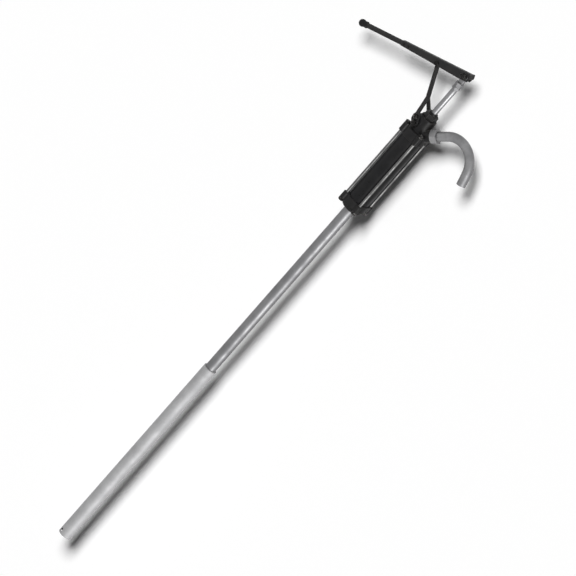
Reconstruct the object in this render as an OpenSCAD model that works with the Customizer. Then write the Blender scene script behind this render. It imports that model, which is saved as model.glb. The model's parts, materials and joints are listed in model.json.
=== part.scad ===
// Drum barrel pump: a lever-worked lift pump whose two-stage suction tube stands in a drum.
// Millimetres. +Z runs up the pump axis, the handle points to -X and the spout to +X.
// The origin is on the pump axis at the underside of the lower cap, where the drum opening is.

/* [Suction tube] */
// Outside diameter of the fixed upper tube
upper_tube_d = 22; // [16:0.5:23]
// Wall of the upper tube
upper_tube_wall = 1.5; // [1:0.1:2.5]
// Length of the upper tube below the lower cap
upper_tube_len = 490; // [300:10:600]
// Outside diameter of the sliding lower tube
lower_tube_d = 27; // [26:0.5:34]
// Wall of the lower tube
lower_tube_wall = 1.25; // [0.8:0.05:1.5]
// How far the drawn-out lower tube reaches below the lower cap
suction_depth = 880; // [760:10:1100]
// Length of the guide bush in the top of the lower tube
guide_len = 46; // [20:1:80]
// Lip of the guide bush that covers the end of the lower tube
guide_lip = 2; // [1:0.5:4]
// Height of the slip ring on the foot of the upper tube
slip_ring_h = 12; // [8:1:20]
// Diameter of the two cross holes near the inlet end
inlet_hole_d = 7; // [4:0.5:10]
// Height of those holes above the inlet end
inlet_hole_up = 8; // [6:1:30]
// Turn of those holes from the spout's side about the pump axis
inlet_hole_turn = 57; // [0:1:90]

/* [Barrel] */
// Bore of the barrel
bore_d = 41; // [36:0.5:44]
// Wall of the barrel
barrel_wall = 2.5; // [2:0.25:3]
// Length of the barrel
barrel_len = 171; // [160:1:260]
// Thickness of each barrel gasket
gasket_t = 1.5; // [1:0.25:3]

/* [Castings] */
// Height of the lower cap
cap_h = 24; // [22:1:40]
// Depth that the upper tube screws into the lower cap
tube_socket = 10; // [8:1:11]
// Depth that the barrel sinks into either casting
barrel_socket = 6; // [4:0.5:7]
// Height of the flange of the head casting
flange_h = 20; // [18:1:30]
// Metal of a casting outside the barrel
casting_rim = 2.5; // [2:0.25:5]
// Radius of the bosses around the tie rods
lobe_r = 5.6; // [5:0.2:8]
// Radius of the gland boss on the head
boss_r = 17; // [16:0.5:20]
// Height of the gland boss above the flange
boss_h = 32; // [30:1:40]
// Chamfer on the outer edges of the castings
casting_chamfer = 1.6; // [0.5:0.1:2.5]

/* [Tie rods] */
// Number of tie rods round the barrel
rod_count = 4; // [4:1:6]
// Diameter of a tie rod
tie_d = 6; // [5:0.5:7]
// Width across flats of a tie-rod nut
tie_nut_af = 10; // [9:0.5:11]
// Height of a tie-rod nut
tie_nut_h = 4.5; // [3:0.5:5]
// Thickness of the small washers
washer_t = 1; // [0.6:0.1:1.5]

/* [Piston] */
// Diameter of the piston rod
rod_d = 12; // [10:0.5:13]
// Diameter of the threaded ends of the piston rod
stud_d = 8; // [6:0.5:9]
// Height of the piston
piston_h = 18; // [16:1:30]
// Height of the underside of the piston above the origin, at rest
piston_z = 108; // [104:1:118]
// Height of each cup seal
cup_h = 4.5; // [3:0.5:6]
// Lift of the piston valve
piston_valve_lift = 3; // [2:0.5:5]
// Thickness of the piston valve disc
piston_valve_t = 2.5; // [2:0.5:4]

/* [Inlet valve] */
// Diameter of the inlet ball
ball_d = 16; // [14:0.5:17]
// Bore of the inlet valve seat
seat_bore = 12; // [9:0.5:13]
// Thickness of the inlet valve seat
seat_t = 4; // [3:0.5:5]
// Lift of the inlet ball
ball_lift = 3.5; // [2:0.5:4]

/* [Gland] */
// Bore of the gland boss
gland_bore = 20; // [19:0.5:24]
// Height of the packing
packing_h = 6; // [4:0.5:8]
// Width across flats of the gland nut
gland_af = 24; // [22:1:26]
// Height of the hexagon of the gland nut
gland_hex_h = 11; // [8:1:14]

/* [Fulcrum arm] */
// Distance of the arm's foot from the pump axis
foot_back = 11; // [9:0.5:12]
// Height of the arm's foot above the head flange
foot_up = 18; // [17:0.5:20]
// Half of the width that the two feet straddle
foot_half = 18; // [17.5:0.5:22]
// Thickness of each foot
foot_t = 5; // [4:0.5:8]
// Thickness of the arm's blade along the pivot pin
blade_t = 6; // [5:0.5:6.5]
// Width of the blade
blade_w = 7; // [6:0.5:10]
// Distance between the two bolts of a foot
foot_pitch = 12; // [11:0.5:14]
// Diameter of the foot bolts
foot_bolt_d = 6; // [5:0.5:6.5]

/* [Lever] */
// Distance of the fulcrum pin from the pump axis
fulcrum_back = 60; // [54:1:70]
// Tilt of the lever below the horizontal at rest
rest_tilt = 22; // [18:1:24]
// Greatest tilt of the lever either way
lever_swing = 28; // [24:1:30]
// Height of the rod pin above the origin, at rest
rod_pin_z = 348; // [344:1:370]
// Width of the lever channel
lever_w = 13; // [12.5:0.5:18]
// Metal of the lever channel
lever_wall = 2; // [1.5:0.25:2.5]
// Height of the top of the channel above the pins
lever_rise = 9.5; // [9:0.5:12]
// Depth of the channel below the rod pin
slot_end_drop = 7.5; // [7:0.5:9]
// Depth of the channel below the fulcrum pin
fulcrum_drop = 5; // [4.5:0.5:7]
// Length of the channel on the handle side of the fulcrum
channel_back = 85; // [60:1:95]
// Length of the whole lever from the fulcrum to the centre of the knob
handle_len = 180; // [170:1:260]
// Diameter of the handle bar
handle_d = 10; // [9:0.5:14]
// Diameter of the bar's tang inside the channel
tang_d = 8; // [7:0.5:8.5]
// Diameter of the knob
knob_d = 15; // [14:0.5:24]
// Diameter of the fulcrum pin and of the rod pin
pin_d = 6; // [5:0.5:6]

/* [Spout] */
// Outside diameter of the spout
spout_d = 19; // [16:0.5:19]
// Wall of the spout
spout_wall = 1.5; // [1:0.1:2.5]
// Length of the spout's straight root outside its socket
spout_root = 27; // [22:1:50]
// Radius of the spout's bend
spout_bend = 46; // [36:1:60]
// Turn of the bend
spout_turn = 120; // [90:5:150]
// Length of the straight end
spout_end = 25; // [22:1:60]
// How far the hose end of the spout is drawn down, on its radius
tip_step = 0.3; // [0.2:0.05:0.6]
// Width across flats of the spout nut
spout_nut_af = 26; // [25.5:0.5:27]

/* [Clearances] */
// Radial clearance of a shaft in its bore
run_clear = 0.05; // [0.02:0.01:0.1]
// Radial clearance of the sliding tube on its guide
guide_clear = 0.1; // [0.05:0.01:0.2]
// Gap at a stop or a seat
seat_gap = 0.05; // [0.02:0.01:0.1]
// Side gap of a piece that swings between cheeks
side_gap = 0.3; // [0.2:0.05:0.5]
// Radial gap of the bolts in their holes
bolt_gap = 0.2; // [0.1:0.05:0.4]
// Extra height of the lever slot each way for the pin's path
slot_play = 1.35; // [1.3:0.05:2]

/* [Hidden] */
$fn = 64;
eps = 0.5;                                   // overshoot of a cut past the face that it opens

barrel_r = bore_d / 2 + barrel_wall;
casting_r = barrel_r + casting_rim;
tie_circle = barrel_r + tie_d / 2 + 1.5;     // radius of the circle of tie rods
barrel_z = cap_h - barrel_socket + gasket_t; // foot of the barrel
head_z = barrel_z + barrel_len + gasket_t - barrel_socket;
flange_z = head_z + flange_h;                // top of the head's flange
boss_z = flange_z + boss_h;                  // top of the gland boss
lobe_z = 8;                                  // underside of the lower cap's flange
tie_clear_r = tie_d / 2 + bolt_gap;
rim_step = 1;                                // the rim round the barrel stands this proud of the lobes
tie_tip = 1;                                 // stud that shows past a nut

upper_r = upper_tube_d / 2;
lower_r = lower_tube_d / 2;
lower_bore_r = lower_r - lower_tube_wall;
slip_top = -upper_tube_len + slip_ring_h;
seal_h = 2.4;
seal_depth = 0.9;

seat_r = 13;                                 // outside of the inlet seat and of the cage's foot
seat_z = tube_socket + 2;
ball_r = ball_d / 2;
ball_z = seat_z + seat_t + sqrt(pow(ball_r + seat_gap, 2) - pow(seat_bore / 2, 2));
cage_wall = 2;
cage_r = ball_r + 0.6;                       // inside of the cage
cage_top = ball_z + ball_r + ball_lift + cage_wall;
cap_floor = cap_h - barrel_socket;           // floor that the barrel's gasket lies on

chamber_r = 13;
web_z = flange_z + 12;                       // web that carries the rod bush
web_h = 8;
bush_r = 8;
gland_r = gland_bore / 2;
rod_r = rod_d / 2;
stud_r = stud_d / 2;
packing_z = web_z + web_h;
gland_collar_h = 3.5;

foot_z = flange_z + foot_up;
fulcrum_z = rod_pin_z - fulcrum_back * tan(rest_tilt);
arm_lean = atan2(fulcrum_back - foot_back, fulcrum_z - foot_z);
arm_len = norm([fulcrum_back - foot_back, fulcrum_z - foot_z]);
fork_low = 13;                               // where the legs start to close in, along the arm
fork_high = 44;                              // where they meet
foot_pad_r = 7.5;
lug_r = 12;
arm_eye_r = 5;

pin_r = pin_d / 2;
eye_r = 5.5;
tongue_t = lever_w - 2 * lever_wall - 1;     // thickness of the rod eye between the cheeks
tongue_len = 16;
collar_af = 14;
collar_h = 10;
locknut_h = 6;
shoulder_z = rod_pin_z - tongue_len - collar_h - locknut_h;
slot_from = fulcrum_back - pin_r - 0.8;      // ends of the lever slot, along the lever
slot_to = fulcrum_back / cos(lever_swing) + pin_r + 0.8;
lever_front = slot_to + 7.3;
tang_z = lever_rise - lever_wall - tang_d / 2;
rivet_d = 4;
rivets_at = [-channel_back + 6, -channel_back + 18];
pin_washer_r = 7;

piston_r = bore_d / 2 - 0.4;
cup_groove = 3.4;
cup_land = 3;
piston_hole_r = 2.8;
piston_hole_circle = 11.5;

spout_r = spout_d / 2;
spout_rise = 45;                             // slope of the spout's root
spout_socket_r = 12;
spout_foot = [10, 0, head_z + 14];           // inner end of the socket's boss, on its axis
spout_socket_len = 34;
spout_nut_h = 14;
spout_seal_t = 2;
spout_grip = 12;                             // how deep the spout sits in its socket
tip_lap = 0.5;                               // lap of the drawn-down end inside the bend's wall

// ---- shared shapes

// Cylinder with both edges chamfered
module chamfered(r, h, c) {
    rotate_extrude()
        polygon([[0, 0], [r - c, 0], [r, c], [r, h - c], [r - c, h], [0, h]]);
}

// Ring between two radii
module ring(outer, inner, h) {
    difference() {
        cylinder(r = outer, h = h);
        translate([0, 0, -eps]) cylinder(r = inner, h = h + 2 * eps);
    }
}

// Hexagon with its corners broken on both faces, bored through
module nut(af, h, bore) {
    corner = af / sqrt(3);
    difference() {
        intersection() {
            cylinder(r = corner, h = h, $fn = 6);
            chamfered(corner, h, 0.9);
        }
        translate([0, 0, -eps]) cylinder(r = bore, h = h + 2 * eps);
    }
}

// A cylinder along Y, centred on the origin
module across(r, len) {
    rotate([90, 0, 0]) cylinder(r = r, h = len, center = true);
}

// Children at each tie rod, at the height z
module at_ties(z) {
    for (i = [0:rod_count - 1])
        rotate([0, 0, 360 / rod_count * (i + 0.5)])
            translate([tie_circle, 0, z]) children();
}

// Solid outline of a casting's flange with its lobes, which start at the height lobe_from
module flange_blank(h, lobe_from) {
    chamfered(casting_r, h, casting_chamfer);
    at_ties(lobe_from) chamfered(lobe_r, h - rim_step, 0.8);
}

module tie_holes(z, h) {
    at_ties(z) cylinder(r = tie_clear_r, h = h);
}

// Place of the lever: origin on the fulcrum pin, +X towards the rod pin
module on_lever() {
    translate([-fulcrum_back, 0, fulcrum_z]) rotate([0, -rest_tilt, 0]) children();
}

// Place of the arm: origin between its feet, +Z towards the fulcrum pin
module on_arm() {
    translate([-foot_back, 0, foot_z]) rotate([0, -arm_lean, 0]) children();
}

// Place of the spout socket: origin in its mouth, +Z out along the spout's root
module on_socket() {
    translate(spout_foot) rotate([0, 90 - spout_rise, 0])
        translate([0, 0, spout_socket_len]) children();
}

// Children at each of the four foot bolts, +Z pointing out of the foot
module at_foot_bolts() {
    for (side = [-1, 1], along = [-1, 1])
        on_arm() translate([0, side * foot_half, along * foot_pitch / 2])
            rotate([-side * 90, 0, 0]) children();
}

// ---- suction tube

module suction_tube_upper() {
    color("silver")
    translate([0, 0, -upper_tube_len])
        ring(upper_r, upper_r - upper_tube_wall, upper_tube_len + tube_socket);
}

module slip_ring() {
    color("goldenrod")
    translate([0, 0, -upper_tube_len]) difference() {
        ring(lower_bore_r - guide_clear, upper_r, slip_ring_h);
        translate([0, 0, (slip_ring_h - seal_h) / 2])
            ring(lower_bore_r + eps, lower_bore_r - seal_depth, seal_h);
    }
}

module slip_seal() {
    color("dimgray")
    translate([0, 0, -upper_tube_len + (slip_ring_h - seal_h) / 2])
        ring(lower_bore_r - run_clear, lower_bore_r - seal_depth, seal_h);
}

module suction_tube_lower() {
    top = slip_top + seat_gap + guide_len;
    color("silver")
    difference() {
        translate([0, 0, -suction_depth]) ring(lower_r, lower_bore_r, top + suction_depth);
        translate([0, 0, -suction_depth + inlet_hole_up])
            rotate([0, 90, inlet_hole_turn])
                cylinder(d = inlet_hole_d, h = 3 * lower_r, center = true);
    }
}

module guide_bush() {
    color("goldenrod")
    translate([0, 0, slip_top + seat_gap]) difference() {
        union() {
            cylinder(r = lower_bore_r, h = guide_len);
            translate([0, 0, guide_len]) cylinder(r = lower_r, h = guide_lip);
        }
        translate([0, 0, -eps])
            cylinder(r = upper_r + guide_clear, h = guide_len + guide_lip + 2 * eps);
    }
}

// ---- lower cap and inlet valve

module lower_cap() {
    color([0.12, 0.12, 0.13])
    difference() {
        union() {
            chamfered(tie_circle - lobe_r - 0.9, lobe_z + eps, casting_chamfer);
            translate([0, 0, lobe_z]) flange_blank(cap_h - lobe_z, 0);
        }
        translate([0, 0, -eps]) cylinder(r = upper_r, h = tube_socket + eps);
        cylinder(r = upper_r - upper_tube_wall, h = cap_h);
        translate([0, 0, seat_z]) cylinder(r = seat_r, h = cap_h);
        translate([0, 0, cap_floor]) cylinder(r = barrel_r, h = cap_h);
        tie_holes(lobe_z - eps, cap_h);
    }
}

module cap_gasket() {
    color("dimgray")
    translate([0, 0, cap_floor]) ring(barrel_r, bore_d / 2, gasket_t);
}

module inlet_seat() {
    color("goldenrod")
    translate([0, 0, seat_z]) ring(seat_r, seat_bore / 2, seat_t);
}

module inlet_ball() {
    color("lightgray")
    translate([0, 0, ball_z]) sphere(r = ball_r);
}

module ball_cage() {
    foot_z = seat_z + seat_t;
    wall_r = cage_r + cage_wall;
    color("goldenrod")
    difference() {
        union() {
            translate([0, 0, foot_z]) cylinder(r = seat_r, h = 2);
            translate([0, 0, foot_z]) cylinder(r = wall_r, h = cage_top - foot_z);
        }
        translate([0, 0, foot_z - eps])
            cylinder(r = cage_r, h = cage_top - cage_wall - foot_z + eps);
        cylinder(r = seat_bore / 3, h = cage_top + eps);
        for (turn = [0, 90]) rotate([0, 0, turn])
            translate([-2 * wall_r, -cage_r / 2, foot_z + 4])
                cube([4 * wall_r, cage_r, cage_top - foot_z - 4 - 2 * cage_wall]);
    }
}

// ---- barrel and tie rods

module barrel() {
    color([0.09, 0.09, 0.10])
    translate([0, 0, barrel_z]) ring(barrel_r, bore_d / 2, barrel_len);
}

module head_gasket() {
    color("dimgray")
    translate([0, 0, barrel_z + barrel_len]) ring(barrel_r, bore_d / 2, gasket_t);
}

module tie_rods() {
    foot = lobe_z - washer_t - tie_nut_h - tie_tip;
    top = flange_z + washer_t + tie_nut_h + tie_tip;
    color("gray") at_ties(foot) cylinder(d = tie_d, h = top - foot);
}

module tie_nuts_top() {
    color("gray") at_ties(flange_z + washer_t) nut(tie_nut_af, tie_nut_h, tie_d / 2);
}

module tie_nuts_bottom() {
    color("gray") at_ties(lobe_z - washer_t - tie_nut_h) nut(tie_nut_af, tie_nut_h, tie_d / 2);
}

module tie_washers_top() {
    color("gray") at_ties(flange_z) ring(lobe_r, tie_d / 2, washer_t);
}

module tie_washers_bottom() {
    color("gray") at_ties(lobe_z - washer_t) ring(lobe_r, tie_d / 2, washer_t);
}

// ---- head

module head_casting() {
    color([0.12, 0.12, 0.13])
    difference() {
        union() {
            translate([0, 0, head_z]) flange_blank(flange_h, rim_step);
            translate([0, 0, flange_z - eps]) chamfered(boss_r, boss_h + eps, casting_chamfer);
            translate([-foot_back, 0, foot_z]) across(lug_r, 2 * foot_half);
            on_socket() translate([0, 0, -spout_socket_len])
                cylinder(r = spout_socket_r, h = spout_socket_len);
        }
        translate([0, 0, head_z - eps]) cylinder(r = barrel_r, h = barrel_socket + eps);
        translate([0, 0, head_z]) cylinder(r = chamber_r, h = web_z - head_z);
        translate([0, 0, web_z - eps]) cylinder(r = bush_r, h = web_h + 2 * eps);
        translate([0, 0, packing_z]) cylinder(r = gland_r, h = boss_h);
        on_socket() translate([0, 0, -spout_socket_len])
            cylinder(r = spout_r - spout_wall, h = spout_socket_len + eps);
        on_socket() translate([0, 0, -spout_grip]) cylinder(r = spout_r, h = spout_grip + eps);
        tie_holes(head_z - eps, flange_h + 2 * eps);
        at_foot_bolts() translate([0, 0, -7]) cylinder(d = foot_bolt_d, h = 7 + eps);
    }
}

module rod_bush() {
    color("goldenrod")
    translate([0, 0, web_z]) ring(bush_r, rod_r + run_clear, web_h);
}

module gland_packing() {
    color("dimgray")
    translate([0, 0, packing_z]) ring(gland_r, rod_r + run_clear, packing_h);
}

module gland_nut() {
    thread_z = packing_z + packing_h;
    color([0.12, 0.12, 0.13])
    difference() {
        union() {
            translate([0, 0, thread_z]) cylinder(r = gland_r, h = boss_z - thread_z);
            translate([0, 0, boss_z]) nut(gland_af, gland_hex_h, rod_r + run_clear);
            translate([0, 0, boss_z + gland_hex_h - eps])
                chamfered(rod_r + 3, gland_collar_h + eps, 0.8);
        }
        translate([0, 0, thread_z - eps])
            cylinder(r = rod_r + bolt_gap, h = boss_h + gland_hex_h + gland_collar_h);
    }
}

// ---- spout

// Place of the bend: origin at the centre of its arc, which starts at +X and turns about -Y
module on_bend() {
    on_socket() translate([spout_bend, 0, spout_root]) rotate([0, 0, 180]) children();
}

// Solid root and bend of the spout at a radius, the root longer by extra
module spout_run(r, extra) {
    on_socket() translate([0, 0, -spout_grip - extra])
        cylinder(r = r, h = spout_root + spout_grip + extra);
    on_bend() rotate([90, 0, 0])
        rotate_extrude(angle = spout_turn) translate([spout_bend, 0]) circle(r = r);
}

module spout() {
    tip_r = spout_r - tip_step;
    color("lightgray") {
        difference() {
            spout_run(spout_r, 0);
            spout_run(spout_r - spout_wall, eps);
        }
        on_bend() rotate([0, -spout_turn, 0]) translate([spout_bend, 0, -tip_lap])
            ring(tip_r, tip_r - spout_wall, spout_end + tip_lap);
    }
}

module spout_nut() {
    color("lightgray")
    on_socket() difference() {
        translate([0, 0, spout_seal_t + 4 - spout_nut_h]) nut(spout_nut_af, spout_nut_h, spout_r);
        translate([0, 0, -spout_nut_h]) cylinder(r = spout_socket_r, h = spout_nut_h + spout_seal_t);
    }
}

module spout_seal() {
    color("dimgray")
    on_socket() ring(spout_socket_r, spout_r, spout_seal_t);
}

// ---- fulcrum arm

module fulcrum_arm() {
    outer = foot_half + foot_t;
    half = blade_t / 2;
    color([0.16, 0.16, 0.17])
    difference() {
        union() {
            on_arm() rotate([90, 0, 90]) linear_extrude(height = blade_w, center = true)
                polygon([[half, arm_len], [-half, arm_len], [-half, fork_high], [-outer, fork_low],
                         [-outer, 0], [-foot_half, 0], [-foot_half, fork_low - 1], [0, fork_high - 4],
                         [foot_half, fork_low - 1], [foot_half, 0], [outer, 0], [outer, fork_low],
                         [half, fork_high]]);
            on_arm() translate([0, 0, arm_len]) across(arm_eye_r, blade_t);
            at_foot_bolts() cylinder(r = foot_pad_r, h = foot_t);
            for (side = [-1, 1])
                on_arm() translate([0, side * (foot_half + foot_t / 2), 0])
                    cube([2 * foot_pad_r, foot_t, foot_pitch], center = true);
        }
        on_arm() translate([0, 0, arm_len]) across(pin_r + run_clear, 2 * outer);
        at_foot_bolts() translate([0, 0, -eps]) cylinder(d = foot_bolt_d, h = foot_t + 2 * eps);
    }
}

module arm_bolts() {
    color("gray")
    at_foot_bolts() {
        translate([0, 0, -6.8]) cylinder(d = foot_bolt_d, h = 6.8 + foot_t + washer_t);
        translate([0, 0, foot_t + washer_t]) nut(tie_nut_af, 4, 0.1);
        translate([0, 0, foot_t + washer_t]) cylinder(r = 1, h = 4);
    }
}

module arm_washers() {
    color("gray")
    at_foot_bolts() translate([0, 0, foot_t]) ring(lobe_r, foot_bolt_d / 2, washer_t);
}

// ---- piston and rod

module piston_rod() {
    foot = piston_z - tie_nut_h - 4;
    top = piston_z + piston_h;
    color("lightgray") {
        translate([0, 0, foot]) cylinder(r = stud_r, h = top - foot);
        translate([0, 0, top]) cylinder(r = rod_r, h = shoulder_z - top);
        translate([0, 0, shoulder_z]) cylinder(r = stud_r, h = locknut_h + collar_h - 2);
    }
}

module piston() {
    color("goldenrod")
    translate([0, 0, piston_z]) difference() {
        cylinder(r = piston_r, h = piston_h);
        for (z = [cup_land, piston_h - cup_land - cup_h])
            translate([0, 0, z]) ring(piston_r + eps, piston_r - cup_groove, cup_h);
        translate([0, 0, -eps]) cylinder(r = stud_r, h = piston_h + 2 * eps);
        for (turn = [0:60:300]) rotate([0, 0, turn]) translate([piston_hole_circle, 0, -eps])
            cylinder(r = piston_hole_r, h = piston_h + 2 * eps);
    }
}

module cup(z) {
    color("saddlebrown")
    translate([0, 0, z]) ring(bore_d / 2 - run_clear, piston_r - cup_groove, cup_h);
}

module piston_cup_lower() {
    cup(piston_z + cup_land);
}

module piston_cup_upper() {
    cup(piston_z + piston_h - cup_land - cup_h);
}

module piston_valve() {
    color("gray")
    translate([0, 0, piston_z + piston_h + seat_gap])
        ring(piston_hole_circle + piston_hole_r + 2, rod_r + run_clear, piston_valve_t);
}

module valve_stop() {
    color("gray")
    translate([0, 0, piston_z + piston_h + piston_valve_t + piston_valve_lift + 3 * seat_gap])
        ring(rod_r + 3, rod_r, 3);
}

module piston_nut() {
    color("gray")
    translate([0, 0, piston_z - tie_nut_h - 2]) nut(13, tie_nut_h + 2, stud_r);
}

module rod_locknut() {
    color("gray")
    translate([0, 0, shoulder_z]) nut(collar_af, locknut_h, stud_r);
}

module rod_eye() {
    collar_z = shoulder_z + locknut_h;
    color([0.2, 0.2, 0.21])
    difference() {
        union() {
            translate([0, 0, rod_pin_z]) across(eye_r, tongue_t);
            translate([-eye_r, -tongue_t / 2, collar_z + collar_h - eps])
                cube([2 * eye_r, tongue_t, tongue_len + eps]);
            translate([0, 0, collar_z]) nut(collar_af, collar_h, 0.1);
            translate([0, 0, collar_z]) cylinder(r = 1, h = collar_h);
        }
        translate([0, 0, rod_pin_z]) across(pin_r, lever_w);
        translate([0, 0, collar_z - eps]) cylinder(r = stud_r, h = collar_h - 2 + eps);
    }
}

module rod_pin() {
    color("lightgray")
    translate([0, 0, rod_pin_z]) across(pin_r, lever_w + 2 * (side_gap + 2 * washer_t + 1));
}

module rod_pin_washers() {
    color("gray")
    for (side = [-1, 1])
        translate([0, 0, rod_pin_z]) rotate([-side * 90, 0, 0])
            translate([0, 0, lever_w / 2 + side_gap]) ring(pin_washer_r, pin_r, washer_t);
}

module rod_pin_clips() {
    color("dimgray")
    for (side = [-1, 1])
        translate([0, 0, rod_pin_z]) rotate([-side * 90, 0, 0])
            translate([0, 0, lever_w / 2 + side_gap + washer_t]) ring(pin_r + 2, pin_r, washer_t);
}

// ---- lever and handle

module lever_channel() {
    inner_w = lever_w - 2 * lever_wall;
    color([0.16, 0.16, 0.17])
    on_lever() difference() {
        rotate([90, 0, 0]) linear_extrude(height = lever_w, center = true)
            polygon([[-channel_back, lever_rise], [lever_front - 2, lever_rise],
                     [lever_front, lever_rise - 2], [lever_front, 1],
                     [lever_front - 6, -slot_end_drop], [slot_from - 6, -slot_end_drop],
                     [0, -fulcrum_drop], [-channel_back, tang_z - tang_d / 2 - 0.5]]);
        translate([-channel_back - eps, -inner_w / 2, -2 * slot_end_drop])
            cube([channel_back + eps + lever_front - lever_wall, inner_w,
                  2 * slot_end_drop + lever_rise - lever_wall]);
        across(pin_r, 2 * lever_w);
        for (x = [slot_from + pin_r, slot_to - pin_r])
            translate([x, 0, 0]) across(pin_r + slot_play, 2 * lever_w);
        translate([slot_from + pin_r, -lever_w, -pin_r - slot_play])
            cube([slot_to - slot_from - pin_d, 2 * lever_w, pin_d + 2 * slot_play]);
        for (x = rivets_at) translate([x, 0, tang_z]) across(rivet_d / 2, 2 * lever_w);
    }
}

module handle_bar() {
    color([0.16, 0.16, 0.17])
    on_lever() translate([0, 0, tang_z]) difference() {
        union() {
            translate([-handle_len, 0, 0]) rotate([0, 90, 0])
                cylinder(d = handle_d, h = handle_len - channel_back - side_gap);
            translate([-channel_back - 1, 0, 0]) rotate([0, 90, 0])
                cylinder(d = tang_d, h = 25);
        }
        for (x = rivets_at) translate([x, 0, 0]) across(rivet_d / 2, 2 * lever_w);
    }
}

module handle_rivets() {
    color("gray")
    for (x = rivets_at) on_lever() translate([x, 0, tang_z]) {
        across(rivet_d / 2, lever_w);
        for (side = [-1, 1]) rotate([-side * 90, 0, 0])
            translate([0, 0, lever_w / 2]) chamfered(rivet_d / 2 + 1, 1.4, 0.7);
    }
}

module handle_knob() {
    color([0.08, 0.08, 0.08])
    on_lever() translate([-handle_len, 0, tang_z]) difference() {
        union() {
            sphere(d = knob_d);
            rotate([0, 90, 0]) cylinder(r = handle_d / 2 + 1.5, h = knob_d / 2 + 4);
        }
        rotate([0, 90, 0]) cylinder(d = handle_d, h = knob_d);
    }
}

module fulcrum_pin() {
    color("lightgray")
    on_lever() rotate([90, 0, 0]) {
        translate([0, 0, -lever_w / 2 - washer_t - 1.5])
            cylinder(r = pin_r, h = lever_w + washer_t + 1.5);
        translate([0, 0, lever_w / 2]) chamfered(pin_r + 2, 2.5, 0.7);
    }
}

module fulcrum_clip() {
    color("dimgray")
    on_lever() rotate([-90, 0, 0]) translate([0, 0, lever_w / 2]) ring(pin_r + 2, pin_r, washer_t);
}

module fulcrum_spacers() {
    gap = lever_w / 2 - lever_wall - blade_t / 2;
    color("goldenrod")
    for (side = [-1, 1]) on_lever() rotate([-side * 90, 0, 0])
        translate([0, 0, blade_t / 2 + side_gap]) ring(arm_eye_r - 0.5, pin_r, gap - side_gap);
}

suction_tube_upper();
slip_ring();
slip_seal();
suction_tube_lower();
guide_bush();
lower_cap();
cap_gasket();
inlet_seat();
inlet_ball();
ball_cage();
barrel();
head_gasket();
tie_rods();
tie_nuts_top();
tie_nuts_bottom();
tie_washers_top();
tie_washers_bottom();
head_casting();
rod_bush();
gland_packing();
gland_nut();
spout();
spout_nut();
spout_seal();
fulcrum_arm();
arm_bolts();
arm_washers();
piston_rod();
piston();
piston_cup_upper();
piston_cup_lower();
piston_valve();
valve_stop();
piston_nut();
rod_locknut();
rod_eye();
rod_pin();
rod_pin_washers();
rod_pin_clips();
lever_channel();
handle_bar();
handle_rivets();
handle_knob();
fulcrum_pin();
fulcrum_clip();
fulcrum_spacers();
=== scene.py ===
"""Looks of a lever-worked drum barrel pump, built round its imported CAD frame.

Sizes are in millimetres in the classes and become metres when a mesh is made.
The frame is the pump's own: +Z up the pump axis, +X to the spout, -X to the
handle, and the origin on the axis at the underside of the lower cap.
"""

from __future__ import annotations

import json
import logging
import math
from dataclasses import dataclass, field
from enum import Enum
from typing import Callable, Iterable, Sequence

import bmesh
import bpy
from mathutils import Matrix, Vector

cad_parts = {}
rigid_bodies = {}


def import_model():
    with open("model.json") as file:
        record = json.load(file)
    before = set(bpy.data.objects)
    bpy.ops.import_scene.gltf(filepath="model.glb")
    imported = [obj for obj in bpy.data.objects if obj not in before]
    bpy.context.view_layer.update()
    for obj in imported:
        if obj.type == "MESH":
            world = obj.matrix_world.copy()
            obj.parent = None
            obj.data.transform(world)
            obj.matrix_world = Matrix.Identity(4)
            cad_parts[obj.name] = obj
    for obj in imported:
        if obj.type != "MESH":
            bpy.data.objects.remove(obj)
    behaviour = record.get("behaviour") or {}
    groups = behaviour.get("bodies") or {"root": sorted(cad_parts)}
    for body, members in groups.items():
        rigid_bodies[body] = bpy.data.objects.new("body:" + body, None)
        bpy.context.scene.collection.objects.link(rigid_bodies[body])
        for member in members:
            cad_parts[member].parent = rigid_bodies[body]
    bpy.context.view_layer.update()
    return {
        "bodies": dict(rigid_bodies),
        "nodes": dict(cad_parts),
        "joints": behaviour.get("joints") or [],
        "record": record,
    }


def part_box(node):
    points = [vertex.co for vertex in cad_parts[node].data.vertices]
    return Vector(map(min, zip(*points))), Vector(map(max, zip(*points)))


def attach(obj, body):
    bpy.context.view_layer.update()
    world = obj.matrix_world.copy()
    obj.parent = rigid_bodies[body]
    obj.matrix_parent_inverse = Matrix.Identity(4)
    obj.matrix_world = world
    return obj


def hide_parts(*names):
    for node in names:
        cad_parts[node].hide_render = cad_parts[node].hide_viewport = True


LOG = logging.getLogger("drum_pump")
MM = 0.001
JOIN_WITHIN = 0.0005  # millimetres within which a cut's stray points are one

Colour = tuple[float, float, float]
Outline = list[tuple[float, float]]
Corner = tuple[float, float, float]


# ---------------------------------------------------------------- placing


def place(origin: Sequence[float], x_axis: Sequence[float], z_axis: Sequence[float]) -> Matrix:
    """Makes the matrix of a local frame from its origin and two of its axes.

    Args:
        origin: Where the frame's origin is, in millimetres.
        x_axis: Direction of its X axis.
        z_axis: Direction of its Z axis, square to the X axis.

    Returns:
        The matrix that takes a local point to the pump's frame.
    """
    x, z = Vector(x_axis).normalized(), Vector(z_axis).normalized()
    y = z.cross(x)
    matrix = Matrix((x, y, z)).transposed().to_4x4()
    matrix.translation = Vector(origin)
    return matrix


def along_y(origin: Sequence[float] = (0.0, 0.0, 0.0), side: int = 1) -> Matrix:
    """Gives the frame whose +Z points along +Y or -Y of the pump.

    Args:
        origin: Where the frame's origin is, in millimetres.
        side: 1 for +Y, -1 for -Y.

    Returns:
        The frame's matrix.
    """
    return place(origin, (1, 0, 0), (0, side, 0))


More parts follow.
